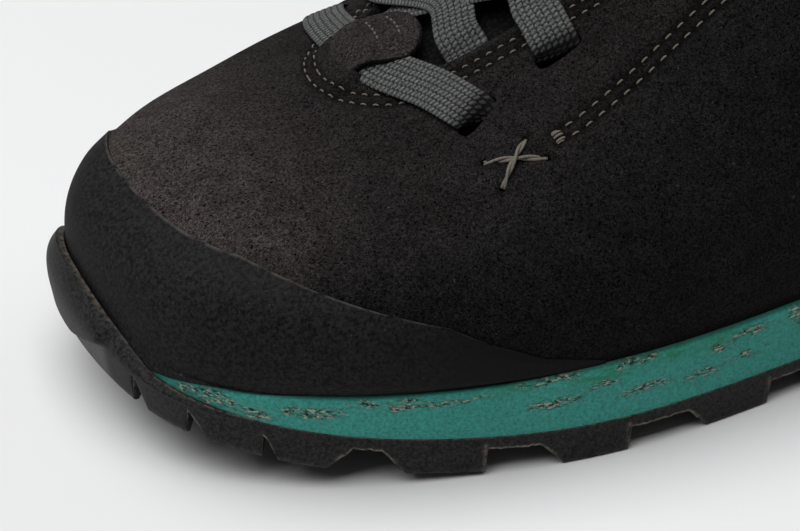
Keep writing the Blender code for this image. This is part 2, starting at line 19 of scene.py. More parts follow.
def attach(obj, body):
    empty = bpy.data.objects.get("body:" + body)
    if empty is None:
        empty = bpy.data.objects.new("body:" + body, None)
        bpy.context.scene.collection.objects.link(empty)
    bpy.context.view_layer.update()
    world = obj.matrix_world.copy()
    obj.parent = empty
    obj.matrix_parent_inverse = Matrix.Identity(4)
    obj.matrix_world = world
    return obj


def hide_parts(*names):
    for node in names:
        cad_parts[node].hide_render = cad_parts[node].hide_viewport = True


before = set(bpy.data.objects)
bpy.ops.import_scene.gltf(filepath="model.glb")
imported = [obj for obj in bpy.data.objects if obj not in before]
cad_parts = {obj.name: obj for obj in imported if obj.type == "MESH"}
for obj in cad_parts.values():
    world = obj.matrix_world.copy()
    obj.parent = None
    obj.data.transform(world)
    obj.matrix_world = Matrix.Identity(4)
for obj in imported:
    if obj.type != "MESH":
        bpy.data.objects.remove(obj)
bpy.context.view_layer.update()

MM = 0.001
SHOE_CENTRE = np.array([144.3, -1.0, 0.0])

# Camera, in millimetres and degrees.
CAMERA_PLACE = (-60.45, -350.57, 265.21)
CAMERA_TURN = (56.0, 0.0, -20.0)
CAMERA_LENS = 99.0
SENSOR_WIDTH = 36.0
CLIP_START = 0.01

# Ribs of the last, as in the solids: foot on the feather line, top on the throat or collar edge.
RIB_COLUMNS = (
    "foot_x", "foot_y", "foot_z", "top_x", "top_y", "top_z", "lean", "rise", "pitch", "roll", "rim")
RIBS = (
    (2.2, 7, 26, 58, 12, 55.5, 6, 27, 21, 25, 2.4),
    (6, -16.3, 24.5, 58.3, 9.5, 55.5, 6, 28, 21, 25, 2.4),
    (15, -33, 22.3, 59.5, 6, 55.8, 7, 28.5, 21, 26, 2.4),
    (34, -44.8, 21, 63, 1, 57, 8, 28, 22, 26, 2.4),
    (62, -51.5, 20.5, 72, -4, 60, 9, 28, 23, 26, 2.4),
    (95, -54, 21.4, 91, -8, 70, 9, 30, 27, 24, 2.4),
    (135, -48.5, 22, 128, -12, 88, 8, 32, 36, 24, 2.6),
    (168, -43.5, 24, 160, -22, 101, 6, 32, 60, 24, 4),
    (195, -41, 26, 191, -33, 91, 5, 26, 80, 22, 6),
    (236, -40.5, 28.5, 233, -34, 80, 6, 20, 86, 18, 6),
    (272, -29, 30, 267, -25, 88, 10, 24, 78, 22, 6),
    (288.5, 2, 30, 282, 2, 95, 13, 28, 70, 26, 6),
    (272, 28, 30, 267, 24, 90, 10, 24, 78, 22, 6),
    (236, 37, 28.5, 233, 31, 83, 6, 20, 86, 18, 6),
    (195, 36, 26, 191, 31, 93, 5, 26, 80, 22, 6),
    (165, 39, 24, 158, 28, 102, 6, 32, 60, 24, 4),
    (135, 45, 22, 126, 25, 88, 8, 32, 36, 24, 2.6),
    (95, 51, 21.4, 90, 26, 70.5, 9, 30, 27, 24, 2.4),
    (62, 50, 20.5, 72, 25, 60.5, 9, 28, 23, 26, 2.4),
    (34, 40.5, 21, 63, 22, 57.2, 8, 25.5, 22, 26, 2.4),
    (15.5, 30, 22.3, 59.5, 18, 55.8, 6, 23.5, 21, 26, 2.4),
    (6, 19.6, 24.5, 58.3, 14.5, 55.5, 6, 25, 21, 25, 2.4),
)
HEEL_ROW = 11
COLLAR_CORNER_ROWS = (7, 15)
WALL = 2.4
COLLAR_PAD_START = 0.55
COLLAR_ROLL = 0.9
COLLAR_ROLL_START = 0.84
COLLAR_ROLL_SPAN = 0.2
RIM_STEPS = 5
RIM_BULGE = 0.3
FOOT_SHADE = 0.045
# Columns of the upper as first turn, last turn and count, and its rows.
FINE_TURNS = (-0.1, 0.3, 340)
COARSE_TURNS = (0.3, 0.9, 230)
SUEDE_ROWS = 91
LINING_ROWS = 27
# Samples for reading the last's lines: round the whole feather line, along one side, along a throat edge.
LOOP_SAMPLES = 4001
SIDE_SAMPLES = 400
EDGE_SAMPLES = 200

# Sole.
OUTSOLE_SIDE = 8.1
LUG_DEPTH = 5.8
LUG_LENGTH = 15.0
LUG_DRAFT = 1.5
LUG_FRONT_SLOPE = 4.6
LUG_BACK_SLOPE = 0.6
GAP_FLARE = 2.2
NOTCH_STEEPNESS = 2.5
FLANK_SHARE = 0.95
SOLE_FLARE = 1.4
TOE_SPRING = 13.6
TOE_SPRING_END = 88.0
ARCH_FRONT = 138.0
ARCH_BACK = 205.0
ARCH_LIFT = 5.0
HEEL_BEVEL = 4.0
HEEL_BEVEL_START = 265.0
BUMPER_THICKNESS = 3.6
BUMPER_HEIGHT = 7.2
BUMPER_TIP = 2.5
BUMPER_REACH = 10.3
BUMPER_FADE = 26.0
BUMPER_LEAN = 0.05
BUMPER_EDGE = 0.5
BUMPER_TUCK = 0.8
BUMPER_ROLL = 1.1
BUMPER_ROLL_END = 6.0
BUMPER_ROLL_FADE = 0.7
BUMPER_ROLL_BLEND = 1.2
BUMPER_ROLL_FOOT = ((0, 0.5), (2.8, 1.5), (3.4, 3), (4.5, 5.5), (5.8, 8))
# Painted reflection on the facet under the bumper's roll: the stations and the heights that it fades in over.
FACET_STATIONS = (2.6, 3.0)
FACET_HEIGHTS = (0.4, 0.9)
PLATE_STEP = 0.9
SIDE_CHAMFER = 1.5
EDGE_ROUND = 0.6
SIDE_STEPS = (0.12, 0.22, 0.34, 0.46, 0.58, 0.7, 0.85, 1.0)
CHAMFER_STEPS = 10
CHAMFER_SWELL = 0.88
# Depths over which a gap counts as open, and the ragged flash in it: least height, then height and size
# of its lumps and of its nicks, and how far it hangs down.
GAP_DEPTHS = (1.5, 3.0)
FLASH_LEAST = 0.25
FLASH_LUMPS = (0.9, 1.1)
FLASH_NICKS = (0.4, 0.5)
FLASH_HANG = 0.7
LUG_WEAR_REACH = 0.45
OUTSOLE_SPACING = 0.75
MIDSOLE_SIDE = 1.2
MIDSOLE_TOP_EDGE = 0.2
MIDSOLE_SHOULDER = 1.7
MIDSOLE_SHOULDER_SHARE = 0.4
MIDSOLE_SIDE_ROWS = 12
MIDSOLE_SHOULDER_ROWS = 8
MIDSOLE_TOP_INSET = 6.0
MIDSOLE_SPACING = 0.9
SEAT_GAP = 0.1
INSOLE_INSET = 3.0
INSOLE_THICKNESS = 3.5
INSOLE_BEVEL = 1.2
INSOLE_BEVEL_SHARES = (0.9, 1.0)
INSOLE_COLUMNS = 120
INSOLE_ROWS = 33
INSOLE_DISH = 0.7
INSOLE_DISH_STATIONS = (150.0, 210.0)
TOE_LUG_BACK = 8.1
HEEL_LUG_FRONT = 286.0
OUTER_LUGS = (
    (9.6, 14.3), (17, 25.3), (27.8, 36), (50.2, 65), (80.3, 93.5), (110.9, 125), (138, 153),
    (166, 180), (193, 206), (218, 233), (245, 259), (270, 279))
INNER_LUGS = (
    (9.6, 14.3), (17, 25.3), (27.8, 38), (52, 67), (82, 97), (112, 127), (140, 155),
    (168, 181), (195, 207), (219, 234), (246, 260), (270, 279))
WORN_LUGS = 3
SLOPING_BACK = OUTER_LUGS[WORN_LUGS - 1][0]
SLOPING_BACK_LENGTH = 5.5
CENTRE_LUG_ROWS = (
    (27, (0,)),
    (46, (-14, 13)),
    (66, (-24, -1, 22)),
    (86, (-14, 11)),
    (107, (-25, -1, 23)),
    (127, (-13, 10)),
    (216, (-11, 8)),
    (238, (-11, 8)),
    (258, (-1,)),
)
CENTRE_LUG_LENGTH = 13.0
CENTRE_LUG_WIDTH = 12.0
CENTRE_LUG_ROOT = 1.0
CENTRE_LUG_BEVEL = 0.6

# Flecks of the foam: station, share of the side's height, half length, half height.
FLECKS = (
    (18, 0.66, 3.0, 1.3),
    (24, 0.35, 3.0, 0.9),
    (33.5, 0.75, 4.2, 0.9),
    (43, 1.05, 2.2, 0.6),
    (50, 1.05, 1.8, 0.5),
    (55, 0.95, 7.0, 0.6),
    (78.5, 0.6, 4.4, 0.8),
    (77.5, 1.1, 5.0, 0.6),
    (88, 0.81, 2.6, 0.7),
    (96.7, 0.5, 4.0, 0.7),
    (94, 1.1, 3.2, 0.7),
    (109.5, 0.46, 3.2, 0.7),
    (112, 0.85, 1.6, 1.0),
    (119.0, 0.52, 3.2, 0.6),
    (119.5, 0.98, 4.0, 0.7),
)
GREEN_PATCHES = (
    (70, 1.1, 5.0, 1.3),
    (87, 1.0, 6.0, 1.7),
    (101.5, 1.05, 5.0, 1.4),
    (112.5, 1.0, 5.0, 1.4),
)
UNSEEN_FLECKS = 44
UNSEEN_START = 128.0
UNSEEN_SEED = 5
# Ranges of the flecks past that start: share of the run, share of the height, half length, half height.
UNSEEN_RANGES = ((0.0, 1.0), (0.2, 1.05), (1.8, 6.0), (0.6, 1.2))
FLECK_WARP = (2.2, 0.8)
FLECK_WARP_SIZE = 2.6
FLECK_FALL = 0.7

# Toe rand.
RAND_THICKNESS = 1.0
RAND_EDGE_THICKNESS = 0.55
RAND_ROWS = (
    # distance behind the toe tip, and the share of the rib there that the rand covers
    (0, 0.365), (18, 0.372), (28, 0.332), (48, 0.238), (58, 0.19), (66, 0.12), (76, 0.052), (88, 0.01))
RAND_END = RAND_ROWS[-1][0]
RAND_COLUMNS = 320
RAND_SHARES = np.append(np.linspace(0.0, 0.96, 26), (0.975, 0.99, 1.0))
RAND_END_SHARE = 0.12
RAND_RUN_OUT = 30.0
RAND_FEATHERING = 0.72
RAND_STEP = 0.1
RAND_TUCK = 0.16
RAND_INNER_DROP = 0.24
RAND_INNER_FADE = (2.0, 14.0)
RAND_SKIRT = 4.2
RAND_SKIRT_ROWS = (1.0, 0.66, 0.33)
RAND_SKIRT_FADE = (5.0, 22.0)
RAND_SKIRT_POWER = 1.5
RAND_SKIRT_REACH = 1.7
RAND_SKIRT_INSIDE = 0.3
RAND_FOOT_REACH = 0.15
RAND_LIP_FADE = (13.0, 38.0)
# Stations over which painted shade darkens the rand towards its rear.
RAND_REAR_SHADE_FADE = (35.0, 75.0)
# Light top edge and toe edge of the rand, partly real wear and partly a painted highlight: their stations,
# fades and shares.
RAND_WORN_HIGHLIGHT_TOE = 7.0
RAND_WORN_HIGHLIGHT_TOE_FADE = 1.5
RAND_WORN_HIGHLIGHT_FADE = (50.0, 65.0)
RAND_WORN_HIGHLIGHT_SHARES = (0.975, 0.995)

# Throat, eyelets, tongue and lace.
EYELET_HALF_LENGTH = 5.0
EYELET_HALF_WIDTH = 1.7
EYELET_DEPTH = 7.0
EYELET_DIP = 0.55
EYELET_DIP_REACH = 4.5
ROD_TOP = 3.0
EYELET_ROWS = (
    # outer eyelet's distance behind the toe tip and y, then the inner eyelet's
    (75.7, -18.5, 65, 38.5),
    (93, -16, 77, 38.5),
    (113.5, -14.5, 98, 36.5),
    (127, -17.5, 117, 36),
    (140, -21.5, 134, 35.5),
    (152, -28, 150, 37),
)
FIRST_EYELET_LEAN = -0.5
EYELET_LEAN = -0.08
EYELET_SHADE = 0.45
EYELET_SHADE_REACH = 2.6
CLOSURE_OVERRUN = 12
TAB_BASE_Y = 12.0
TAB_BASE_HALF = 6.6
TAB_SIDE_FADE = 0.5
TAB_TIP_Y = 8.8
TAB_TIP_HALF = 8.0
TAB_TIP = 73.6
TAB_TIP_ROUND = 6.5
TAB_THICKNESS = 1.6
TAB_EDGE_BULGE = 0.5
# Least share of painted light on the tab, so the tab is painted lighter.
TAB_PAINTED_LIGHT = 0.5
TAB_LIFTS = (
    (46, 0), (50, 0.2), (53, 0.5), (55, 0.9), (58, 1.9), (61, 2.5), (64, 2.5), (68, 1.7), (75, 0.1))
# Shares of the ribs over which the vamp rises into the tab, and how far back and how low it does.
TAB_RISE_SHARES = (0.5, 0.8)
TAB_RISE_BACK = 80.0
TAB_RISE_LOW = 40.0
TONGUE_BODY = 3.1
TONGUE_SEAT = 0.8
TONGUE_PUFF = 0.7
TONGUE_EDGE = 0.6
TONGUE_TOP_PUFF = (0.97, 0.85, 0.45)
TONGUE_TOP_ROUND = 0.75
TONGUE_COLUMNS = 37
TONGUE_LINES = 64
TONGUE_TOP_LINES = 18
TONGUE_ROWS = (
    # distance behind the toe tip, y of the middle, half width, depth under the instep
    (66, 11.5, 12, 3.2),
    (78, 10.5, 23, 3.2),
    (92, 9.5, 26, 3.2),
    (110, 8, 27, 3.4),
    (128, 6.5, 26, 4.0),
    (145, 5, 24, 5.2),
    (157, 4, 21, 6.0),
)
TONGUE_TOP_STEPS = (
    # step back, step up and share of the width for the free top
    (0, 0, 1.0),
    (6, 9, 0.97),
    (11, 17, 0.9),
    (14, 22, 0.72),
)
LACE_WIDTH = 9.2
LACE_THICKNESS = 1.3
LACE_LIFT = 1.0
LACE_DIP = -1.0
LACE_DIP_REACH = 5.0
LACE_HIDDEN_LIFT = -3.1
LACE_HIDDEN_WIDTH = 0.95
LACE_EDGE_CLEARANCE = 1.5
LACE_EDGE_LIFT = 1.2
LACE_OVER_EDGE = 0.5
LACE_OUTER_STEP = 2.7
LACE_INNER_STEP = 8.0
# Bow of a strap between the throat's edges: step back, step across and lift.
LACE_OUTER_BOW = (1.5, 14.0, 0.1)
LACE_INNER_BOW = (-2.5, 9.0, 1.1)
LACE_OUTER_EDGE_STEP = 2.0
LACE_INNER_EDGE_STEP = 0.8
LACE_BAR = (
    # distance behind the toe tip, y, lift and share of the width
    (70.8, -8, LACE_LIFT, 1),
    (64.2, 3.2, 0.2, 1),
    (62.6, 12, -0.5, 1),
    (62, 21, 0.3, 1),
    (62.3, 30, LACE_LIFT, 1),
)
DIVE_ROWS = (
    # down through an eyelet: way towards the throat's middle, lift and share of the width
    (2.6, 0.85, 1.0),
    (0.9, 0.35, 1.0),
    (0.4, -0.9, 1.0),
    (0.4, -2.3, 0.98),
)
DIVE_STEP = (0.6, 2.4)
DIVE_END = (0.6, -3.3, 0.6)
LACE_STEP = 0.21
LACE_SMOOTHING = 15
LACE_TOP_COLUMNS = 50
LACE_UNDER_COLUMNS = 12
WEAVE_COLUMNS = 7
WEAVE_PITCH = 1.0
WEAVE_RELIEF = 0.36
WEAVE_SLANT = 0.5
STRAND_HALF_WIDTH = 0.56
STRAND_HALF_LENGTH = 0.52

# Seams, as (turn, share) points of the outer side; the inner side mirrors them.
QUARTER_SEAM = (
    (0.2, 0.66), (0.208, 0.668), (0.217, 0.692), (0.229, 0.727), (0.24, 0.765), (0.251, 0.8),
    (0.265, 0.84), (0.28, 0.88), (0.297, 0.93))
QUARTER_SEAM_SPREAD = 1.2
CROSS_STITCH_ARMS = (((0.175, 0.675), (0.196, 0.617)), ((0.179, 0.583), (0.192, 0.692)))
# Throat rows: turn, and the distances of the outer and the inner row from the throat's edge.
THROAT_ROWS = (
    (0, 5.9, 3.7), (0.08, 6.2, 3.8), (0.13, 6.0, 3.4), (0.17, 4.6, 2.2), (0.2, 4.2, 1.9), (0.3, 4.2, 1.9))
THROAT_ROW_STOP = 0.012
THROAT_STITCH_PITCH = 2.6
QUARTER_STITCH_PITCH = 3.2
STITCH_SHARE = 0.53
STITCH_ARCH = 0.42
STITCH_SINK = 0.22
STITCH_SIDES = 7
STITCH_STEPS = 8
TWIST_STEPS = 40
FLAT_STITCH = (0.4, 0.1)
THREAD_RADIUS = 0.21
CROSS_THREAD_RADIUS = 0.34
CROSS_TWIST = 1.2
CROSS_ARCHES = (1.0, 1.6)
CROSS_SINK = 0.3
STITCH_HOLE = 0.62
STITCH_HOLE_DEPTH = 1.6
CROSS_HOLE = 0.07
# Bar tack: short stitches side by side at the seam's front end.
TACK_ROWS = (-0.8, 0.0, 0.8)
TACK_LENGTH = 2.0
TACK_THREAD_RADIUS = 1.3 * THREAD_RADIUS
# Stitch rows across the tab: their shares of its length, and their ends as shares of its width.
TAB_ROWS = (0.5, 0.76)
TAB_ROW_ENDS = (0.18, 0.78)
TAB_STITCH_PITCH = 1.5
TAB_THREAD_RADIUS = 1.2 * THREAD_RADIUS
SEAM_DEPTH = 0.4
SEAM_TREE_STEP = 0.7
SEAM_WIDTH = 1.1
SEAM_SWELL = 0.12
SEAM_SWELL_PLACE = 2.4 * SEAM_WIDTH
# Painted light on the suede: the way a face must point to be painted lit, how squarely it has to, and where
# along the shoe the painted light falls off.
LIGHT_FACING = (-0.5, 0.35, 0.8)
PAINTED_LIGHT_RANGE = (0.3, 0.8)
PAINTED_LIGHT_FALL = 0.85
PAINTED_LIGHT_FALL_STATIONS = (8.0, 60.0)

# Soft creases of the suede: (turn, share) ends, depth and width of the trough.
CREASES = (
    ((0.205, 0.2), (0.222, 0.62), 0.5, 5.0),
    ((0.228, 0.25), (0.238, 0.62), 0.35, 4.0),
    ((0.06, 0.8), (0.16, 0.82), 0.35, 5.0),
    ((0.815, 0.2), (0.79, 0.65), 0.5, 5.0),
    ((0.78, 0.25), (0.765, 0.62), 0.35, 4.0),
    ((0.42, 0.45), (0.47, 0.62), 0.4, 6.0),
    ((0.58, 0.45), (0.53, 0.62), 0.4, 6.0),
)
CREASE_STEPS = 24
CREASE_END = 0.04
CREASE_RIDGE = 0.4
UNDULATION = 0.22
UNDULATION_SIZE = 17.0
BARE_FADE = 0.05

# Round top of the toe box: station of its middle, reach along the shoe, lift, and the heights that it
# fades in over.
TOE_ROUND_X = 22.0
TOE_ROUND_REACH = 15.0
TOE_ROUND = 1.6
TOE_ROUND_HEIGHTS = (28.0, 40.0)

# Colours; the knits also have the size of their cells.
# Suede colours for painted light: shaded where a face points away from the light, lit where it faces it. The
# lit colour comes in two tones.
SUEDE_SHADED = (0.0082, 0.0081, 0.0081)
SUEDE_LIT = ((0.044, 0.036, 0.036), (0.046, 0.039, 0.0355))
SUEDE_PIT = (0.0025, 0.0022, 0.0022)
SUEDE_LINT = (0.16, 0.15, 0.145)
# Painted shade along the seams, and painted shadow at the upper's foot where it meets the sole.
SUEDE_SEAM_SHADE = (0.0022, 0.0017, 0.0015)
RAND_CLOUDS = ((0.0072, 0.0072, 0.0074), (0.0108, 0.0105, 0.0105))
RAND_SPECK = (0.07, 0.07, 0.07)
# Painted shade towards the rand's rear.
RAND_REAR_SHADE = (0.004, 0.0039, 0.0039)
# Worn edge of the rand, lightened partly by real wear and partly by a painted highlight.
RAND_WORN_HIGHLIGHT = (0.06, 0.055, 0.05)
RUBBER_CLOUDS = ((0.0105, 0.0103, 0.0103), (0.0175, 0.0172, 0.0172))
# Painted reflection of the bright surroundings on the facet under the bumper's roll.
RUBBER_FACET_REFLECTION = (0.075, 0.075, 0.077)
RUBBER_WORN = (0.17, 0.145, 0.12)
FOAM_CLOUDS = ((0.03, 0.235, 0.198), (0.046, 0.29, 0.242))
FOAM_GREEN = (0.014, 0.165, 0.06)
# Painted shade along the foam's top edge, under the upper.
FOAM_TOP_SHADE = (0.012, 0.045, 0.036)
FLECK_DIM = (0.035, 0.085, 0.062)
FLECK_DARK = (0.004, 0.008, 0.009)
FLECK_PALE = (0.42, 0.39, 0.29)
# Painted shade in the gaps of the lace's weave.
LACE_GAP_SHADE = (0.004, 0.0042, 0.0042)
LACE_STRAND = (0.1, 0.104, 0.101)
THREAD_PLY = ((0.05, 0.041, 0.033), (0.21, 0.188, 0.157))
LINING_KNIT = ((0.004, 0.004, 0.004), (0.02, 0.02, 0.021), 1.1)
INSOLE_KNIT = ((0.012, 0.012, 0.013), (0.045, 0.045, 0.047), 0.8)
TONGUE_KNIT = ((0.003, 0.003, 0.003), (0.012, 0.012, 0.0125), 0.9)
FLOOR_CLOUDS = ((0.79, 0.795, 0.8), (0.83, 0.83, 0.835))

# Floor and lights, in metres and watts: name, place, size and power of each softbox.
FLOOR_HALF = 4.0
SOFTBOXES = (
    ("overhead_softbox", (-0.5, 0.05, 1.45), 1.7, 32.0),
    ("rear_softbox", (1.2, 0.35, 0.9), 1.0, 4.0),
)
LIGHT_AIM = (-0.05, 0.0, 0.05)
WORLD_STRENGTH = 0.06


def smooth(share):
    """Ease from 0 to 1 with flat ends."""
    share = np.clip(share, 0.0, 1.0)
    return share * share * (3.0 - 2.0 * share)


def ramp(value, start, end):
    """Ease from 0 at start to 1 at end."""
    return smooth((value - start) / (end - start))


def table_value(table, at, which=1, **beyond):
    """Column of a table, read at stations of its first column."""
    columns = np.array(table, float).T
    return np.interp(at, columns[0], columns[which], **beyond)


def unit(vectors):
    return vectors / np.linalg.norm(vectors, axis=-1)[..., None]


def closed_spline(knots, values, at):
    """Cubic spline through values at knots, closed after one turn, read at the turns at."""
    count = len(knots)
    spans = np.diff(np.append(knots, knots[0] + 1.0))
    slopes = (np.roll(values, -1) - values) / spans
    matrix = np.zeros((count, count))
    for i in range(count):
        matrix[i, i - 1] += spans[i - 1]
        matrix[i, i] += 2.0 * (spans[i - 1] + spans[i])
        matrix[i, (i + 1) % count] += spans[i]
    bends = np.linalg.solve(matrix, 6.0 * (slopes - np.roll(slopes, 1)))
    at = np.mod(np.asarray(at, float), 1.0)
    i = np.clip(np.searchsorted(knots, at, side="right") - 1, 0, count - 1)
    j = (i + 1) % count
    b = (at - knots[i]) / spans[i]
    c = 1.0 - b
    bend = (c**3 - c) * bends[i] + (b**3 - b) * bends[j]
    return c * values[i] + b * values[j] + bend * spans[i] ** 2 / 6.0


RIB_TABLE = dict(zip(RIB_COLUMNS, np.array(RIBS, float).T))


def rib_knots():
    """Turns of the ribs, spaced by the square root of the distance between their feet."""
    feet = np.column_stack([RIB_TABLE["foot_x"], RIB_TABLE["foot_y"]])
    steps = np.linalg.norm(np.roll(feet, -1, axis=0) - feet, axis=1) ** 0.5
    return np.concatenate([[0.0], np.cumsum(steps)[:-1]]) / steps.sum()


RIB_KNOTS = rib_knots()
HEEL_TURN = RIB_KNOTS[HEEL_ROW]
OUTER_CORNER, INNER_CORNER = (RIB_KNOTS[row] for row in COLLAR_CORNER_ROWS)


def column(name, t):
    return closed_spline(RIB_KNOTS, RIB_TABLE[name], t)


def mirrored(t):
    """Turn on the inner side that answers a turn on the outer side."""
    inner = np.append([1.0], RIB_KNOTS[:HEEL_ROW - 1:-1])
    return np.interp(t, RIB_KNOTS[:HEEL_ROW + 1], inner)


def inward(t):
    """Level unit vectors pointing into the shoe, square to the feather line."""
    step = 1e-4
    along_x = column("foot_x", t + step) - column("foot_x", t - step)
    along_y = column("foot_y", t + step) - column("foot_y", t - step)
    size = np.hypot(along_x, along_y)
    return np.stack([-along_y / size, along_x / size, np.zeros_like(size)], axis=-1)


def feather(t, outset=0.0):
    """Points of the feather line, moved outwards by outset."""
    line = np.stack([column(name, t) for name in ("foot_x", "foot_y", "foot_z")], axis=-1)
    return line - inward(t) * np.broadcast_to(outset, np.shape(t))[..., None]


def rib_point(t, s):
    """Points of the last at turns t and rib shares s."""
    t, s = np.broadcast_arrays(np.asarray(t, float), np.asarray(s, float))
    into = inward(t)
    up = np.array([0.0, 0.0, 1.0])
    foot = feather(t)
    top = np.stack([column(name, t) for name in ("top_x", "top_y", "top_z")], axis=-1)
    lean = np.radians(column("lean", t))[..., None]
    pitch = np.radians(column("pitch", t))[..., None]
    foot_handle = foot + column("rise", t)[..., None] * (np.cos(lean) * up - np.sin(lean) * into)
    top_handle = top - column("roll", t)[..., None] * (np.cos(pitch) * into + np.sin(pitch) * up)
    s = s[..., None]
    return ((1 - s) ** 3 * foot + 3 * s * (1 - s) ** 2 * foot_handle
            + 3 * s**2 * (1 - s) * top_handle + s**3 * top)


def skin_normal(t, s):
    """Outward unit normals of the last."""
    step = 1e-4
    along = rib_point(t + step, s) - rib_point(t - step, s)
    upward = rib_point(t, s + step) - rib_point(t, s - step)
    return unit(np.cross(along, upward))


def skin(t, s, lift=0.0):
    """Points of the last, lifted along its normal."""
    t, s = np.broadcast_arrays(np.asarray(t, float), np.asarray(s, float))
    return rib_point(t, s) + skin_normal(t, s) * np.broadcast_to(lift, t.shape)[..., None]


def turn_at(station, inner=False):
    """Turn where the feather line passes a distance behind the toe tip, on one side."""
    turns = np.linspace(1.0 if inner else 0.0, HEEL_TURN, SIDE_SAMPLES)
    return np.interp(station, column("foot_x", turns), turns)


def run_length(line):
    """Distance travelled along a line of points."""
    return np.concatenate([[0.0], np.cumsum(np.linalg.norm(np.diff(line, axis=0), axis=1))])


def even_loop(spacing, outset=0.0):
    """Turns spaced evenly along the feather line."""
    fine = np.linspace(0.0, 1.0, LOOP_SAMPLES)
    run = run_length(feather(fine, outset))
    count = int(round(run[-1] / spacing))
    return np.interp(np.arange(count) * run[-1] / count, run, fine)


def ground_lift(x):
    """Height of the lug bottoms: toe spring, arch and heel bevel."""
    toe = TOE_SPRING * np.clip(1.0 - x / TOE_SPRING_END, 0.0, None) ** 2
    arch_share = np.clip((x - ARCH_FRONT) / (ARCH_BACK - ARCH_FRONT), 0.0, 1.0)
    arch = ARCH_LIFT * np.sin(math.pi * arch_share) ** 2
    heel_length = RIB_TABLE["foot_x"].max() - HEEL_BEVEL_START
    heel = HEEL_BEVEL * np.clip((x - HEEL_BEVEL_START) / heel_length, 0.0, None) ** 2
    return toe + arch + heel


def ragged(points, size, seed=0.0):
    """Smooth noise of about unit height over points, with features of a size in millimetres."""
    shape = points.shape[:-1]
    flat = points.reshape(-1, 3) / size + seed
    return np.array([noise.noise(Vector(point)) for point in flat]).reshape(shape)


def new_object(name, data):
    """Object of a mesh, lamp or lens, linked into the scene."""
    made = bpy.data.objects.new(name, data)
    bpy.context.scene.collection.objects.link(made)
    return made


class Sheets:
    """Points, faces and point values of one mesh, gathered sheet by sheet."""

    def __init__(self):
        self.points = []
        self.values = []
        self.faces = []
        self.slots = []
        self.size = 0

    def add(self, points, **values):
        """Add a grid of points with its point values and return the grid of their numbers."""
        points = np.asarray(points, float)
        shape = points.shape[:-1]
        numbers = self.size + np.arange(int(np.prod(shape))).reshape(shape)
        self.points.append(points.reshape(-1, 3))
        self.values.append({key: np.broadcast_to(value, shape).ravel() for key, value in values.items()})
        self.size += numbers.size
        return numbers

    def fill(self, faces, slot=0):
        """Add faces given by their point numbers."""
        self.faces += faces
        self.slots += [slot] * len(faces)

    def cover(self, rows, closed=False, slot=0):
        """Quads over a grid of point numbers, closed across its columns if asked."""
        if closed:
            rows = np.hstack([rows, rows[:, :1]])
        quads = np.stack([rows[:-1, :-1], rows[:-1, 1:], rows[1:, 1:], rows[1:, :-1]], axis=-1)
        self.fill(quads.reshape(-1, 4).tolist(), slot)

    def tube(self, rings, **values):
        """Tube over closed rings of points, capped at both ends."""
        numbers = self.add(rings, **values)
        self.cover(numbers, True)
        self.fill([numbers[0].tolist(), numbers[-1].tolist()])

    def shell(self, outside, inside, **values):
        """Two grids of points joined round their edges; the values belong to the outside."""
        grids = [self.add(outside, **values), self.add(inside)]
        for grid in grids:
            self.cover(grid)
        around = [np.r_[grid[0], grid[1:, -1], grid[-1, -2::-1], grid[-2:0:-1, 0]] for grid in grids]
        self.cover(np.stack(around), True)

    def make(self, name, materials, sharp=None):
        """Mesh object of the sheets, without the points that no face uses."""
        used = np.unique(np.concatenate([np.array(face) for face in self.faces]))
        place = np.zeros(self.size, int)
        place[used] = np.arange(len(used))
        points = (np.concatenate(self.points)[used] - SHOE_CENTRE) * MM
        mesh = bpy.data.meshes.new(name)
        mesh.from_pydata(points.tolist(), [], [place[list(face)].tolist() for face in self.faces])
        mesh.polygons.foreach_set("material_index", self.slots)
        for key in sorted(set().union(*self.values)):
            parts = [values.get(key, np.zeros(len(sheet))) for values, sheet in zip(self.values, self.points)]
            attribute = mesh.attributes.new(key, "FLOAT", "POINT")
            attribute.data.foreach_set("value", np.concatenate(parts)[used])
        shaped = bmesh.new()
        shaped.from_mesh(mesh)
        bmesh.ops.recalc_face_normals(shaped, faces=shaped.faces[:])
        shaped.to_mesh(mesh)
        shaped.free()
        for material in materials:
            mesh.materials.append(material)
        mesh.shade_smooth()
        if sharp is not None:
            mesh.set_sharp_from_angle(angle=math.radians(sharp))
        return new_object(name, mesh)


def dress(piece, slot, *nodes):
    """Set a piece on the shoe's one body, in place of the solids that it stands for."""
    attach(piece, "root")
    if nodes:
        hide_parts(*nodes)


def ladder(loop, numbers):
    """Triangles across a closed loop of points, rung by rung from toe to heel."""
    heel = int(np.argmax(loop[:, 0]))
    outer = list(range(heel + 1))
    inner = [0] + list(range(len(loop) - 1, heel - 1, -1))
    faces = []
    i = j = 0
    while i < len(outer) - 1 or j < len(inner) - 1:
        outer_next = loop[outer[i + 1], 0] if i < len(outer) - 1 else math.inf
        inner_next = loop[inner[j + 1], 0] if j < len(inner) - 1 else math.inf
        if outer_next <= inner_next:
            rung = (outer[i], outer[i + 1], inner[j])
            i += 1
        else:
            rung = (outer[i], inner[j + 1], inner[j])
            j += 1
        if len(set(rung)) == 3:
            faces.append([int(numbers[k]) for k in rung])
    return faces


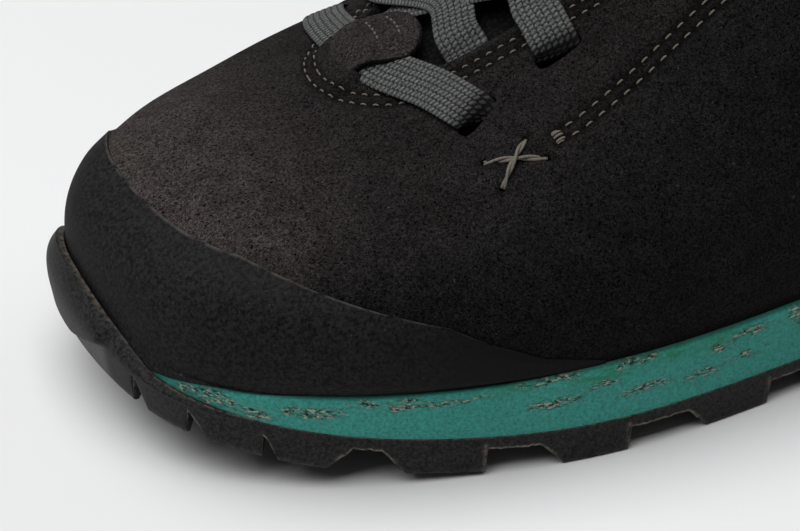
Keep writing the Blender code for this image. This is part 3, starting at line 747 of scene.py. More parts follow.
def instep_surface():
    """Last closed over the throat, as a tree for dropping points on it."""
    columns = 240
    steps = 80
    crown_limit = 6.0
    sheets = Sheets()
    last = rib_point(np.arange(columns)[None] / columns, np.linspace(0.0, 1.0, 49)[:, None])
    sheets.cover(sheets.add(last), True)
    across = np.linspace(-0.04, 1.04, 27)[:, None]
    rows = []
    for share in np.linspace(0.0, 1.0, steps + 1)[1:]:
        outer = rib_point(share * OUTER_CORNER, 1.0)
        inner = rib_point(1.0 - share * (1.0 - INNER_CORNER), 1.0)
        width = np.linalg.norm(inner - outer)
        crown = width * math.tan(math.radians(column("pitch", share * OUTER_CORNER))) / 4
        row = (1 - across) * outer + across * inner
        row[:, 2:] += 4 * across * (1 - across) * min(crown, crown_limit)
        rows.append(row)
    step_back = rows[-1] - rows[-2]
    rows += [rows[-1] + number * step_back for number in range(1, CLOSURE_OVERRUN + 1)]
    sheets.cover(sheets.add(np.stack(rows)))
    return BVHTree.FromPolygons(np.concatenate(sheets.points).tolist(), sheets.faces)


INSTEP = instep_surface()


def instep_height(x, y):
    """Height of the closed instep, met from well above the shoe."""
    place = INSTEP.ray_cast(Vector((x, y, 200.0)), Vector((0.0, 0.0, -1.0)))[0]
    return place.z


def drape(x, y, lift):
    """Point over the closed instep at (x, y), lifted along its smoothed normal, and that normal."""
    reach = 1.5
    slope_x = (instep_height(x + reach, y) - instep_height(x - reach, y)) / (2 * reach)
    slope_y = (instep_height(x, y + reach) - instep_height(x, y - reach)) / (2 * reach)
    normal = unit(np.array([-slope_x, -slope_y, 1.0]))
    return np.array([x, y, instep_height(x, y)]) + normal * lift, normal


def throat_edges(x):
    """Outer and inner y of the throat's edge at a distance behind the toe tip."""
    outer = np.linspace(0.0, OUTER_CORNER, EDGE_SAMPLES)
    inner = np.linspace(1.0, INNER_CORNER, EDGE_SAMPLES)
    return [np.interp(x, column("top_x", side), column("top_y", side)) for side in (outer, inner)]


def edge_share(t, distance):
    """Rib share that lies a distance below the throat's edge."""
    length = np.linalg.norm(rib_point(t, 1.0) - rib_point(t, 0.9), axis=-1) / 0.1
    return 1.0 - distance / length


def resample(path, pitch):
    """Turns and shares at even steps along a path of (turn, share) points on the last."""
    t, s = np.array(path, float).T
    shares = np.linspace(0.0, 1.0, 60 * len(t))
    marks = np.linspace(0.0, 1.0, len(t))
    t = np.interp(shares, marks, t)
    s = np.interp(shares, marks, s)
    run = run_length(rib_point(t, s))
    stops = np.arange(0.0, run[-1], pitch)
    return np.interp(stops, run, t), np.interp(stops, run, s)


def shifted(path, distance):
    """Path of (turn, share) points moved sideways on the last by a distance."""
    t, s = np.array(path, float).T
    points = rib_point(t, s)
    along = unit(np.gradient(points, axis=0))
    aside = np.cross(skin_normal(t, s), along)
    step = 1e-3
    by_t = (rib_point(t + step, s) - rib_point(t - step, s)) / (2 * step)
    by_s = (rib_point(t, s + step) - rib_point(t, s - step)) / (2 * step)
    moved = []
    for k in range(len(t)):
        share = np.linalg.lstsq(np.stack([by_t[k], by_s[k]], axis=1), aside[k] * distance, rcond=None)[0]
        moved.append((t[k] + share[0], s[k] + share[1]))
    return moved


def other_side(path):
    return [(float(mirrored(t)), s) for t, s in path]


CROSS_ARMS = list(CROSS_STITCH_ARMS) + [other_side(arm) for arm in CROSS_STITCH_ARMS]
QUARTER_SEAMS = (list(QUARTER_SEAM), other_side(QUARTER_SEAM))


def throat_row(which, inner):
    """Path of one stitch row round the throat, on one side of the shoe."""
    t = np.linspace(0.0, OUTER_CORNER - THROAT_ROW_STOP, 60)
    side = mirrored(t) if inner else t
    return list(zip(side, edge_share(side, table_value(THROAT_ROWS, t, which))))


def seam_paths():
    """Stitch rows of the upper with their pitch."""
    rows = []
    for inner, quarter in enumerate(QUARTER_SEAMS):
        for which in (1, 2):
            rows.append((throat_row(which, inner), THROAT_STITCH_PITCH))
        for side in (-1, 1):
            rows.append((shifted(quarter, side * QUARTER_SEAM_SPREAD), QUARTER_STITCH_PITCH))
    return rows


SEAM_PATHS = seam_paths()


def point_tree(points):
    tree = KDTree(len(points))
    for number, point in enumerate(points):
        tree.insert(point, number)
    tree.balance()
    return tree


def distances(tree, points):
    """Distance from each point of a grid to the nearest point of a tree."""
    flat = points.reshape(-1, 3)
    return np.array([tree.find(point)[2] for point in flat]).reshape(points.shape[:-1])


def seam_tree():
    """Points along the seams and in the cross stitches' holes, as a tree for distances."""
    points = []
    for path, _ in SEAM_PATHS:
        points += rib_point(*resample(path, SEAM_TREE_STEP)).tolist()
    for arm in CROSS_ARMS:
        start, end = np.array(arm)
        holes = np.array([start - CROSS_HOLE * (end - start), end + CROSS_HOLE * (end - start)])
        points += rib_point(*holes.T).tolist()
    return point_tree(points)


def eyelet_frames():
    """Centre, normal and direction across the lace of each eyelet."""
    frames = []
    for number, (outer_x, outer_y, inner_x, inner_y) in enumerate(EYELET_ROWS):
        lean = EYELET_LEAN if number else FIRST_EYELET_LEAN
        for x, y, towards_y in ((outer_x, outer_y, 1.0), (inner_x, inner_y, -1.0)):
            centre, normal = drape(x, y, 0.0)
            aside = np.cross(normal, (lean, towards_y, 0.0))
            frames.append((centre, normal, unit(aside)))
    return frames


EYELETS = eyelet_frames()
SEAM_TREE = seam_tree()


def tab_share(y):
    """1 across the tab's base, falling to 0 beside it."""
    return 1.0 - smooth((np.abs(y - TAB_BASE_Y) / TAB_BASE_HALF - 1.0) / TAB_SIDE_FADE)


def tab_lift(x):
    return table_value(TAB_LIFTS, x)


def rand_cover(t):
    """Share of each rib that the rand covers."""
    station = column("foot_x", t)
    inner = np.mod(t, 1.0) > 0.5
    drop = RAND_INNER_DROP * inner * ramp(station, *RAND_INNER_FADE)
    return table_value(RAND_ROWS, station, right=0.0) * (1.0 - drop)


def crease(plain):
    """Depth of the soft creases, each with a low ridge beside its trough."""
    depth = np.zeros(plain.shape[:-1])
    share = np.linspace(0.0, 1.0, CREASE_STEPS)
    for start, end, deep, wide in CREASES:
        line = rib_point(start[0] + share * (end[0] - start[0]), start[1] + share * (end[1] - start[1]))
        away = np.sqrt(((plain[..., None, :] - line) ** 2).sum(-1))
        near = away.min(-1)
        along = np.clip(away.argmin(-1) / (CREASE_STEPS - 1), CREASE_END, 1.0 - CREASE_END)
        ridge = CREASE_RIDGE * np.exp(-((near - 2 * wide) / wide) ** 2)
        depth += deep * np.sin(math.pi * along) * (np.exp(-(near / wide) ** 2) - ridge)
    return depth


def toe_round(plain):
    """Lift of the rounded top of the toe box."""
    along = np.exp(-((plain[..., 0] - TOE_ROUND_X) / TOE_ROUND_REACH) ** 2)
    return TOE_ROUND * along * ramp(plain[..., 2], *TOE_ROUND_HEIGHTS)


def bulge(s, plain):
    """Lift of the vamp over the toe and where it rises into the tab."""
    front = (plain[..., 0] < TAB_RISE_BACK) * (plain[..., 2] > TAB_RISE_LOW)
    rise = ramp(s, *TAB_RISE_SHARES) * front
    return toe_round(plain) + tab_lift(plain[..., 0]) * tab_share(plain[..., 1]) * rise


def suede_lift(t, s):
    """Lift of the suede's face above the last, and nearness to a seam from 0 to 1."""
    plain = rib_point(t, s)
    away = distances(SEAM_TREE, plain)
    # Nearness to a seam also sets the painted shade along the seams.
    seam = np.exp(-(away / SEAM_WIDTH) ** 2)
    lift = bulge(s, plain) - SEAM_DEPTH * seam
    lift += SEAM_SWELL * np.exp(-((away - SEAM_SWELL_PLACE) / SEAM_WIDTH) ** 2)
    for centre, _, _ in EYELETS:
        lift -= EYELET_DIP * np.exp(-((plain - centre) ** 2).sum(-1) / EYELET_DIP_REACH**2)
    soft = UNDULATION * ragged(plain, UNDULATION_SIZE) - crease(plain)
    bare = smooth((s - rand_cover(t)) / BARE_FADE) * smooth(s / BARE_FADE)
    return lift + soft * bare, seam


def suede_point(t, s):
    """Points on the suede's face and their normals."""
    t, s = np.broadcast_arrays(np.asarray(t, float), np.asarray(s, float))
    lift, _ = suede_lift(t, s)
    return skin(t, s, lift), skin_normal(t, s)


def rounded_edge(outside, inside, outward, reach):
    """Rows of a rounded edge between two rows of points, bulging outward by a reach."""
    middle = (outside + inside) / 2
    half = (outside - inside) / 2
    rows = []
    for k in range(1, RIM_STEPS + 1):
        angle = math.pi * k / (RIM_STEPS + 1)
        rows.append(middle + math.cos(angle) * half + math.sin(angle) * reach * outward)
    return np.stack(rows)


def tab_grid(base):
    """Outer face of the tab: rows from its base on the vamp to its round tip."""
    corner = 0.97
    widest = 0.7
    settled = 0.6
    k = np.clip((base[:, 1] - TAB_BASE_Y) / TAB_BASE_HALF, -1.0, 1.0)
    tip = TAB_TIP - TAB_TIP_ROUND * (1.0 - np.sqrt(1.0 - (corner * k) ** 2))
    shares = np.linspace(0.0, 1.0, 27)
    raw = []
    for u in shares:
        x = base[:, 0] + (tip - base[:, 0]) * u
        middle = TAB_BASE_Y + (TAB_TIP_Y - TAB_BASE_Y) * u
        y = middle + k * (TAB_BASE_HALF + (TAB_TIP_HALF - TAB_BASE_HALF) * smooth(u / widest))
        z = [instep_height(*place) for place in zip(x, y)]
        raw.append(np.column_stack([x, y, np.array(z) + tab_lift(x)]))
    raw = np.stack(raw)
    settle = 1.0 - smooth(shares / settled)
    return (raw + settle[:, None, None] * (base - raw[0]))[1:]


def painted_light_share(normals, x):
    """Share of painted light on the suede: full where it faces forwards and up at the toe, towards the light,
    falling off behind.
    """
    facing = normals @ np.array(LIGHT_FACING)
    return ramp(facing, *PAINTED_LIGHT_RANGE) * (1.0 - PAINTED_LIGHT_FALL * ramp(x, *PAINTED_LIGHT_FALL_STATIONS))


def add_tab(sheets, base, outer, inner, edge):
    """Tab over the first lace, rooted in the upper's rim; its outer face and normals are returned."""
    face = tab_grid(base)
    down = -unit(np.cross(np.gradient(face, axis=1), np.gradient(face, axis=0)))
    down *= np.where(down[..., 2:] > 0, -1.0, 1.0)
    under = face + down * TAB_THICKNESS
    # The tab gets at least a fixed share of painted light, so it is painted lighter.
    nap = np.maximum(painted_light_share(-down, face[..., 0]), TAB_PAINTED_LIGHT)
    face_numbers = np.vstack([outer, sheets.add(face, nap=nap)])
    under_numbers = np.vstack([inner, sheets.add(under)])
    sheets.cover(face_numbers)
    sheets.cover(under_numbers, slot=1)
    ends = []
    for side in (0, -1):
        outward = np.array([0.0, math.copysign(1.0, face[0, side, 1] - TAB_BASE_Y), 0.0])
        rows = rounded_edge(face[:, side], under[:, side], outward, TAB_EDGE_BULGE)
        strip = np.vstack([edge[None, :, side], sheets.add(rows.transpose(1, 0, 2))])
        strip = np.hstack([face_numbers[:, side, None], strip, under_numbers[:, side, None]])
        sheets.cover(strip)
        ends.append(strip[-1])
    backward = np.array([1.0, 0.0, 0.0])
    tip_rows = rounded_edge(face[-1, 1:-1], under[-1, 1:-1], backward, TAB_EDGE_BULGE)
    tip = sheets.add(tip_rows.transpose(1, 0, 2))
    tip = np.hstack([face_numbers[-1, 1:-1, None], tip, under_numbers[-1, 1:-1, None]])
    sheets.cover(np.vstack([ends[0][None], tip, ends[1][None]]))
    return face, -down


def make_upper(suede, lining):
    """Suede upper in one closed wall, with the tab over the front of the throat and its lining."""
    turns = np.concatenate([np.linspace(*span, endpoint=False) for span in (FINE_TURNS, COARSE_TURNS)])
    s = np.linspace(0.0, 1.0, SUEDE_ROWS)[:, None]
    lift, seam = suede_lift(*np.broadcast_arrays(turns[None], s))
    collar = (turns > OUTER_CORNER) & (turns < INNER_CORNER)
    roll = np.sin(math.pi * np.clip((s - COLLAR_ROLL_START) / COLLAR_ROLL_SPAN, 0.0, 1.0)) * COLLAR_ROLL
    lift += np.where(collar, roll, 0.0)
    outside = skin(turns[None], s, lift)
    lined = np.linspace(0.0, 1.0, LINING_ROWS)[:, None]
    wall = WALL + ramp(lined, COLLAR_PAD_START, 1.0) * (column("rim", turns)[None] - WALL)
    inside = skin(turns[None], lined, bulge(lined, rib_point(turns[None], lined)) - wall)
    for rows in (outside, inside):
        rows[0, :, 2] = column("foot_z", turns) + SEAT_GAP
    rise = unit(outside[-1] - outside[-4])
    rim = rounded_edge(outside[-1], inside[-1], rise, RIM_BULGE * column("rim", turns)[:, None])

    sheets = Sheets()
    normals = skin_normal(*np.broadcast_arrays(turns[None], s))
    # Painted shadow at the upper's foot, where it meets the sole, joins the painted shade along the seams.
    seam = np.maximum(seam, 1.0 - smooth(s / FOOT_SHADE))
    # The share of painted light decides how lit or how shaded the suede is painted.
    outer = sheets.add(outside, seam=seam, nap=painted_light_share(normals, outside[..., 0]))
    inner = sheets.add(inside)
    edge = sheets.add(rim)
    sheets.cover(outer, True)
    sheets.cover(inner, True, 1)
    sheets.cover(np.stack([outer[0], inner[0]]), True)

    in_tab = (np.abs(outside[-1, :, 1] - TAB_BASE_Y) < TAB_BASE_HALF) & (outside[-1, :, 0] < TAB_TIP)
    first, last = np.flatnonzero(in_tab)[[0, -1]]
    rim_rows = np.vstack([outer[-1:], edge, inner[-1:]])
    rim_columns = np.r_[last:len(turns), 0:first + 1]
    sheets.cover(rim_rows[:3, rim_columns])
    sheets.cover(rim_rows[2:, rim_columns], slot=1)
    columns = slice(first, last + 1)
    tab = add_tab(sheets, outside[-1, columns], outer[-1:, columns], inner[-1:, columns], edge[:, columns])
    upper = sheets.make("upper_suede", [suede, lining])
    punch_eyelets(upper, suede)
    dress(upper, "suede", "upper")
    return tab


def squared(share):
    """Push a sine or cosine outwards, so that an oval of them has fuller ends."""
    return np.sign(share) * np.sqrt(np.abs(share))


def punch_eyelets(upper, material):
    """Cut the eyelets and the cross stitches' holes out of the upper with flat rods."""
    sheets = Sheets()
    angles = np.linspace(0.0, 2 * math.pi, 28, endpoint=False)[:, None]
    holes = [(*eyelet, EYELET_HALF_LENGTH, EYELET_HALF_WIDTH, EYELET_DEPTH) for eyelet in EYELETS]
    for arm in CROSS_ARMS:
        ends = [suede_point(*place) for place in arm]
        aside = unit(ends[1][0] - ends[0][0])
        holes += [(*end, aside, STITCH_HOLE, STITCH_HOLE, STITCH_HOLE_DEPTH) for end in ends]
    for centre, normal, aside, half_length, half_width, depth in holes:
        other = np.cross(normal, aside)
        slit = squared(np.cos(angles)) * aside * half_length + squared(np.sin(angles)) * other * half_width
        sheets.tube(np.stack([centre + normal * height + slit for height in (-depth, ROD_TOP)]))
    rods = sheets.make("eyelet_rods", [material])
    cut = upper.modifiers.new("eyelets", "BOOLEAN")
    cut.operation = "DIFFERENCE"
    cut.solver = "MANIFOLD"
    cut.object = rods
    graph = bpy.context.evaluated_depsgraph_get()
    finished = bpy.data.meshes.new_from_object(upper.evaluated_get(graph))
    upper.modifiers.clear()
    upper.data = finished
    bpy.data.objects.remove(rods, do_unlink=True)


def make_rand(material):
    """Rubbered toe rand that hugs the vamp, with a fine top edge and a skirt behind the bumper."""
    turns = np.linspace(turn_at(RAND_END, True) - 1.0, turn_at(RAND_END), RAND_COLUMNS)
    station = column("foot_x", turns)
    cover = rand_cover(turns)
    end = RAND_END_SHARE + (1.0 - RAND_END_SHARE) * smooth((RAND_END - station) / RAND_RUN_OUT)
    skirt = RAND_SKIRT * (1.0 - ramp(station, *RAND_SKIRT_FADE)) ** RAND_SKIRT_POWER
    lip = 1.0 - ramp(station, *RAND_LIP_FADE)
    outside = []
    inside = []
    for depth in RAND_SKIRT_ROWS:
        for rows, reach in ((outside, RAND_SKIRT_REACH), (inside, RAND_SKIRT_INSIDE)):
            row = feather(turns, RAND_FOOT_REACH + (reach - RAND_FOOT_REACH) * lip)
            row[:, 2] += SEAT_GAP - depth * skirt
            rows.append(row)
    for share in RAND_SHARES:
        thin = ramp(share, RAND_FEATHERING, 1.0)
        thickness = RAND_THICKNESS + thin * (RAND_EDGE_THICKNESS - RAND_THICKNESS)
        tuck = np.maximum(smooth((share + 0.01) / RAND_TUCK), lip)
        seat = SEAT_GAP + toe_round(rib_point(turns, share * cover))
        outside.append(skin(turns, share * cover, seat + RAND_STEP + thickness * end * tuck))
        inside.append(skin(turns, share * cover, seat))
    outside = np.stack(outside)
    inside = np.stack(inside)
    skirt_rows = len(RAND_SKIRT_ROWS)
    for rows in (outside, inside):
        rows[skirt_rows, :, 2] = column("foot_z", turns) + SEAT_GAP
    # Light edge of the rand, partly real wear and partly a painted highlight on its raised top edge and at
    # the toe.
    worn_highlight_edge = ramp(RAND_SHARES, *RAND_WORN_HIGHLIGHT_SHARES)
    worn = np.append(np.zeros(skirt_rows), worn_highlight_edge)[:, None] * np.ones(len(turns))
    worn[0] = smooth((RAND_WORN_HIGHLIGHT_TOE - station) / RAND_WORN_HIGHLIGHT_TOE_FADE)
    worn *= 1.0 - ramp(station, *RAND_WORN_HIGHLIGHT_FADE)
    sheets = Sheets()
    # Painted shade darkens the rand towards its rear.
    sheets.shell(outside, inside, edge=worn, rear=ramp(station, *RAND_REAR_SHADE_FADE))
    dress(sheets.make("toe_rand_skin", [material], sharp=40), "rand", "toe_rand")


def bumper_share(x):
    return smooth(1.0 - x / BUMPER_FADE)


def back_slope(front):
    """Length of the back flank of the lug that starts at front."""
    return SLOPING_BACK_LENGTH if front == SLOPING_BACK else LUG_BACK_SLOPE


def tread_depths():
    """Turns and groove depths round the edge of the tread, from lug to lug."""
    outer = []
    inner = []
    for front, back in OUTER_LUGS:
        outer.append((turn_at(front), turn_at(back), LUG_FRONT_SLOPE, back_slope(front)))
    for front, back in INNER_LUGS:
        inner.append((turn_at(back, True), turn_at(front, True), back_slope(front), LUG_FRONT_SLOPE))
    heel = (turn_at(HEEL_LUG_FRONT), turn_at(HEEL_LUG_FRONT, True), LUG_FRONT_SLOPE, LUG_FRONT_SLOPE)
    toe_start = turn_at(TOE_LUG_BACK, True) - 1.0
    toe_end = turn_at(TOE_LUG_BACK)
    toe = (toe_start, toe_end, LUG_BACK_SLOPE, LUG_BACK_SLOPE)
    next_toe = (toe_start + 1.0, toe_end + 1.0, LUG_BACK_SLOPE, LUG_BACK_SLOPE)
    crests = [toe] + outer + [heel] + inner[::-1] + [next_toe]
    profile = []
    for (_, leave, _, leave_slope), (enter, _, enter_slope, _) in zip(crests, crests[1:]):
        ends = feather(np.array([leave, enter]))
        width = np.linalg.norm(ends[1] - ends[0])
        depth = min(LUG_DEPTH, NOTCH_STEEPNESS * width)
        room = max(width, (leave_slope + enter_slope) / FLANK_SHARE)
        gap = enter - leave
        profile += [(leave, 0.0), (leave + leave_slope / room * gap, depth),
                    (enter - enter_slope / room * gap, depth), (enter, 0.0)]
    return np.array(profile)


def sole_ring(t, outset, height):
    """Loop round the sole at an outward reach, with its height above the lug bottoms."""
    ring = feather(t, outset)
    ring[:, 2] = ground_lift(ring[:, 0]) + height
    return ring


def gap_shapes(turns, profile):
    """Heights of the gaps at the tread's edge, inside it and with flash; how open and how worn they are."""
    line = feather(turns)
    depth = np.interp(turns, profile[:, 0], profile[:, 1], period=1.0)
    deepest = OUTSOLE_SIDE - SIDE_CHAMFER - 2 * EDGE_ROUND
    low = np.minimum(depth, deepest)
    flared = [low]
    for shift in np.linspace(-GAP_FLARE, GAP_FLARE, 9) / run_length(line)[-1]:
        shifted_depth = np.interp(turns + shift, profile[:, 0], profile[:, 1], period=1.0)
        flared.append(np.minimum(shifted_depth, deepest))
    in_gap = ramp(depth, *GAP_DEPTHS)
    lumps = FLASH_LUMPS[0] * np.abs(ragged(line, FLASH_LUMPS[1]))
    nicks = FLASH_NICKS[0] * ragged(line, FLASH_NICKS[1], seed=7.0)
    flash = in_gap * (FLASH_LEAST + lumps + nicks)
    ragged_edge = low - FLASH_HANG * np.clip(flash, 0.0, 1.0) * (low > 2.0)
    backs = feather(np.array([turn_at(back) for _, back in OUTER_LUGS[WORN_LUGS:]]
                             + [turn_at(back, True) for _, back in INNER_LUGS[WORN_LUGS:]]))
    near_back = np.exp(-(distances(point_tree(backs), line) / LUG_WEAR_REACH) ** 2)
    return low, np.max(flared, axis=0), ragged_edge, in_gap, near_back


def make_outsole(rubber):
    """Lugged rubber sole with rounded edges, a moulded toe bumper and ragged flash in its gaps."""
    profile = tread_depths()
    turns = np.unique(np.round(np.append(even_loop(OUTSOLE_SPACING), np.mod(profile[:, 0], 1.0)), 6))
    low, wide, ragged_edge, in_gap, near_back = gap_shapes(turns, profile)
    x = column("foot_x", turns)
    share = bumper_share(x)
    side = SOLE_FLARE + BUMPER_THICKNESS * share
    wall = BUMPER_HEIGHT * np.clip((BUMPER_REACH - x) / (BUMPER_REACH - BUMPER_TIP), 0.0, 1.0)
    root = np.minimum(MIDSOLE_SIDE + 0.2, side - PLATE_STEP)
    top_inner = np.minimum(root + PLATE_STEP - BUMPER_EDGE + BUMPER_LEAN * wall, side - BUMPER_EDGE)
    bottom = side - BUMPER_TUCK * share
    lower_side = ragged_edge + EDGE_ROUND
    upper_side = OUTSOLE_SIDE - SIDE_CHAMFER
    chamfer_top = OUTSOLE_SIDE + wall

    # Rows from the lugs' inner ends out and up to the plate's top: reach, height and wear.
    rows = [
        (side - LUG_LENGTH - LUG_DRAFT, LUG_DEPTH, 0.0),
        (side - LUG_LENGTH - 0.3, wide + 0.4, 0.0),
        (side - LUG_LENGTH + 0.3, wide, 0.0),
        (side - LUG_LENGTH / 2, wide, 0.0),
        (bottom - 3.0, (low + wide) / 2, 0.0),
        (bottom - 1.2, low, 0.0),
        (bottom - EDGE_ROUND, low, 0.2),
        (bottom - 0.15, ragged_edge + 0.15, 0.6 * in_gap + near_back + 0.35),
        (bottom, lower_side, in_gap + near_back + 0.2),
    ]
    first_side_row = len(rows) - 2
    for k in SIDE_STEPS:
        worn = 0.7 * near_back + (0.6 * in_gap if k < 0.2 else 0.0)
        rows.append((bottom + k * (side - bottom), lower_side + k * (upper_side - lower_side), worn))
    for k in np.linspace(0.1, 1.0, CHAMFER_STEPS):
        swell = CHAMFER_SWELL * math.sin(math.pi * k) * share
        reach = side + k * (top_inner + BUMPER_EDGE - side) + swell
        worn = 0.4 * ramp(k, 0.9, 1.0) * (1.0 - share)
        rows.append((reach, upper_side + k * (chamfer_top - upper_side), worn))
    last_side_row = len(rows) - 1
    rows += [
        (top_inner + 0.12, chamfer_top + 0.12, 0.8 - 0.2 * share),
        (top_inner, chamfer_top - 0.05, 0.4 + 0.6 * share),
        (root, np.full_like(root, OUTSOLE_SIDE), 0.0),
    ]

    roll_foot = table_value(BUMPER_ROLL_FOOT, x)
    on_toe = smooth((BUMPER_ROLL_END - x) / BUMPER_ROLL_FADE)
    sheets = Sheets()
    numbers = []
    for number, (reach, height, worn) in enumerate(rows):
        above = smooth((height - roll_foot) / BUMPER_ROLL_BLEND + 0.5)
        pinch = BUMPER_ROLL * on_toe * above if first_side_row <= number <= last_side_row else 0.0
        # Painted reflection on the facet below the bumper's roll, lighter than the rubber.
        facet = on_toe * ramp(x, *FACET_STATIONS) * (1.0 - above) * ramp(height, *FACET_HEIGHTS)
        ring = sole_ring(turns, reach + pinch - 0.5 * BUMPER_ROLL * share, height)
        numbers.append(sheets.add(ring, edge=worn, facet=facet))
    numbers = np.stack(numbers)
    sheets.cover(numbers, True)
    for end in (0, -1):
        sheets.fill(ladder(sheets.points[end], numbers[end]))
    dress(sheets.make("outsole_rubber_tread", [rubber], sharp=38), "outsole_rubber", "outsole")


def make_centre_lugs(rubber):
    """Blocks of the centre tread, rooted in the plate."""
    sheets = Sheets()
    corners = np.array(((-1, -1), (1, -1), (1, 1), (-1, 1)), float)
    for x, places in CENTRE_LUG_ROWS:
        for y in places:
            rings = []
            for height, grow in ((0.0, 0.0), (LUG_DEPTH + CENTRE_LUG_ROOT, LUG_DRAFT)):
                half = (CENTRE_LUG_LENGTH / 2 + grow, CENTRE_LUG_WIDTH / 2 + grow)
                ring = np.column_stack([(x, y) + corners * half, np.full(4, height)])
                ring[:, 2] += ground_lift(ring[:, 0])
                rings.append(ring)
            sheets.tube(np.stack(rings))
    lugs = sheets.make("outsole_centre_lugs", [rubber], sharp=38)
    bevel = lugs.modifiers.new("worn_edges", "BEVEL")
    bevel.width = CENTRE_LUG_BEVEL * MM
    bevel.segments = 2
    dress(lugs, "outsole_rubber")


def fleck_shade(flecks, along, up, side_height, warp):
    """1 inside the flecks of a table, falling to 0 round them; warp makes their outlines ragged."""
    shade = np.zeros(up.shape)
    for x, share, half_length, half_height in flecks:
        beside = (along + FLECK_WARP[0] * warp - x) / half_length
        above = (up + FLECK_WARP[1] * warp - share * side_height) / half_height
        shade = np.maximum(shade, np.exp(-FLECK_FALL * (beside**2 + above**2)))
    return shade


def fleck_values(turns, rows, up, side_height, run):
    """Point values of the foam's flecks and green patches; those past the start are drawn from a seed."""
    station = column("foot_x", turns)
    seen = (turns < turn_at(UNSEEN_START)) | (turns > turn_at(UNSEEN_START, True))
    warp = ragged(rows, FLECK_WARP_SIZE)
    fleck = fleck_shade(FLECKS, station, up, side_height, warp) * seen
    green = fleck_shade(GREEN_PATCHES, station, up, side_height, warp) * seen
    start, end = (np.interp(turn_at(UNSEEN_START, inner), turns, run) for inner in (False, True))
    draw = np.random.default_rng(UNSEEN_SEED)
    drawn = np.column_stack([draw.uniform(*ends, UNSEEN_FLECKS) for ends in UNSEEN_RANGES])
    drawn[:, 0] = start + drawn[:, 0] * (end - start)
    unseen = fleck_shade(drawn, run, up, side_height.mean(), warp) * ~seen
    return np.maximum(fleck, unseen), green


def make_midsole(foam):
    """Foam midsole with a rounded shoulder and its flecks."""
    turns = even_loop(MIDSOLE_SPACING, MIDSOLE_SIDE)
    foot = sole_ring(turns, MIDSOLE_SIDE, OUTSOLE_SIDE + SEAT_GAP)
    shoulder = feather(turns, MIDSOLE_SIDE)
    top = feather(turns, MIDSOLE_TOP_EDGE)
    height = shoulder[:, 2] - foot[:, 2]
    drop = np.minimum(MIDSOLE_SHOULDER, MIDSOLE_SHOULDER_SHARE * height)
    side_height = height - drop
    rows = []
    shares = []
    for k in np.linspace(0.0, 1.0, MIDSOLE_SIDE_ROWS):
        row = foot.copy()
        row[:, 2] += k * side_height
        rows.append(row)
        shares.append(np.full(len(turns), k))
    for k in np.linspace(0.0, 1.0, MIDSOLE_SHOULDER_ROWS)[1:]:
        angle = k * math.pi / 2
        row = shoulder + (top - shoulder) * (1.0 - math.cos(angle))
        row[:, 2] = shoulder[:, 2] - drop * (1.0 - math.sin(angle))
        rows.append(row)
        shares.append(1.0 + math.sin(angle) * drop / side_height)
    rows = np.stack(rows + [feather(turns, -MIDSOLE_TOP_INSET)])
    shares = np.stack(shares + [np.full(len(turns), 2.0)])
    up = shares * side_height
    run = run_length(foot)
    fleck, green = fleck_values(turns, rows, up, side_height, run)
    # Painted shade along the top edge of the foam, where the upper overhangs it.
    top_shade = smooth((shares - 1.0) / np.maximum(0.05, drop / side_height) * 2.0 - 1.0)
    sheets = Sheets()
    numbers = sheets.add(rows, fleck=fleck, green=green, along=run, up=up, top=top_shade)
    sheets.cover(numbers, True)
    for end in (0, -1):
        sheets.fill(ladder(rows[end], numbers[end]))
    dress(sheets.make("midsole_foam_side", [foam], sharp=50), "midsole_foam", "midsole")


def make_insole(cloth):
    """Insole with a bevelled edge and a shallow dish for the foot."""
    loop = feather(np.linspace(0.0, 1.0, 801), -INSOLE_INSET)
    heel = int(np.argmax(loop[:, 0]))
    toe = int(np.argmin(loop[:, 0]))
    outer = loop[toe:heel + 1] if toe < heel else loop[:heel + 1]
    inner = loop[heel:][::-1]
    angle = np.linspace(0.02, math.pi - 0.02, INSOLE_COLUMNS)
    low_x = max(outer[0, 0], inner[0, 0])
    high_x = loop[heel, 0]
    x = (low_x + high_x) / 2 - np.cos(angle) * (high_x - low_x) / 2
    outer_y, inner_y = (np.interp(x, side[:, 0], side[:, 1]) for side in (outer, inner))
    outer_z, inner_z = (np.interp(x, side[:, 0], side[:, 2]) for side in (outer, inner))
    z = (outer_z + inner_z) / 2
    top = []
    bottom = []
    for k in np.linspace(-1.0, 1.0, INSOLE_ROWS):
        y = (outer_y + inner_y) / 2 + k * (inner_y - outer_y) / 2
        bevel = INSOLE_BEVEL * ramp(abs(k), *INSOLE_BEVEL_SHARES)
        dish = INSOLE_DISH * (1.0 - k**2) * ramp(x, *INSOLE_DISH_STATIONS)
        top.append(np.column_stack([x, y, z + INSOLE_THICKNESS - dish - bevel]))
        bottom.append(np.column_stack([x, y, z + SEAT_GAP]))
    sheets = Sheets()
    sheets.shell(np.stack(top), np.stack(bottom))
    insole = sheets.make("insole_cloth_top", [cloth], sharp=50)
    dress(insole, "insole_cloth", "insole")


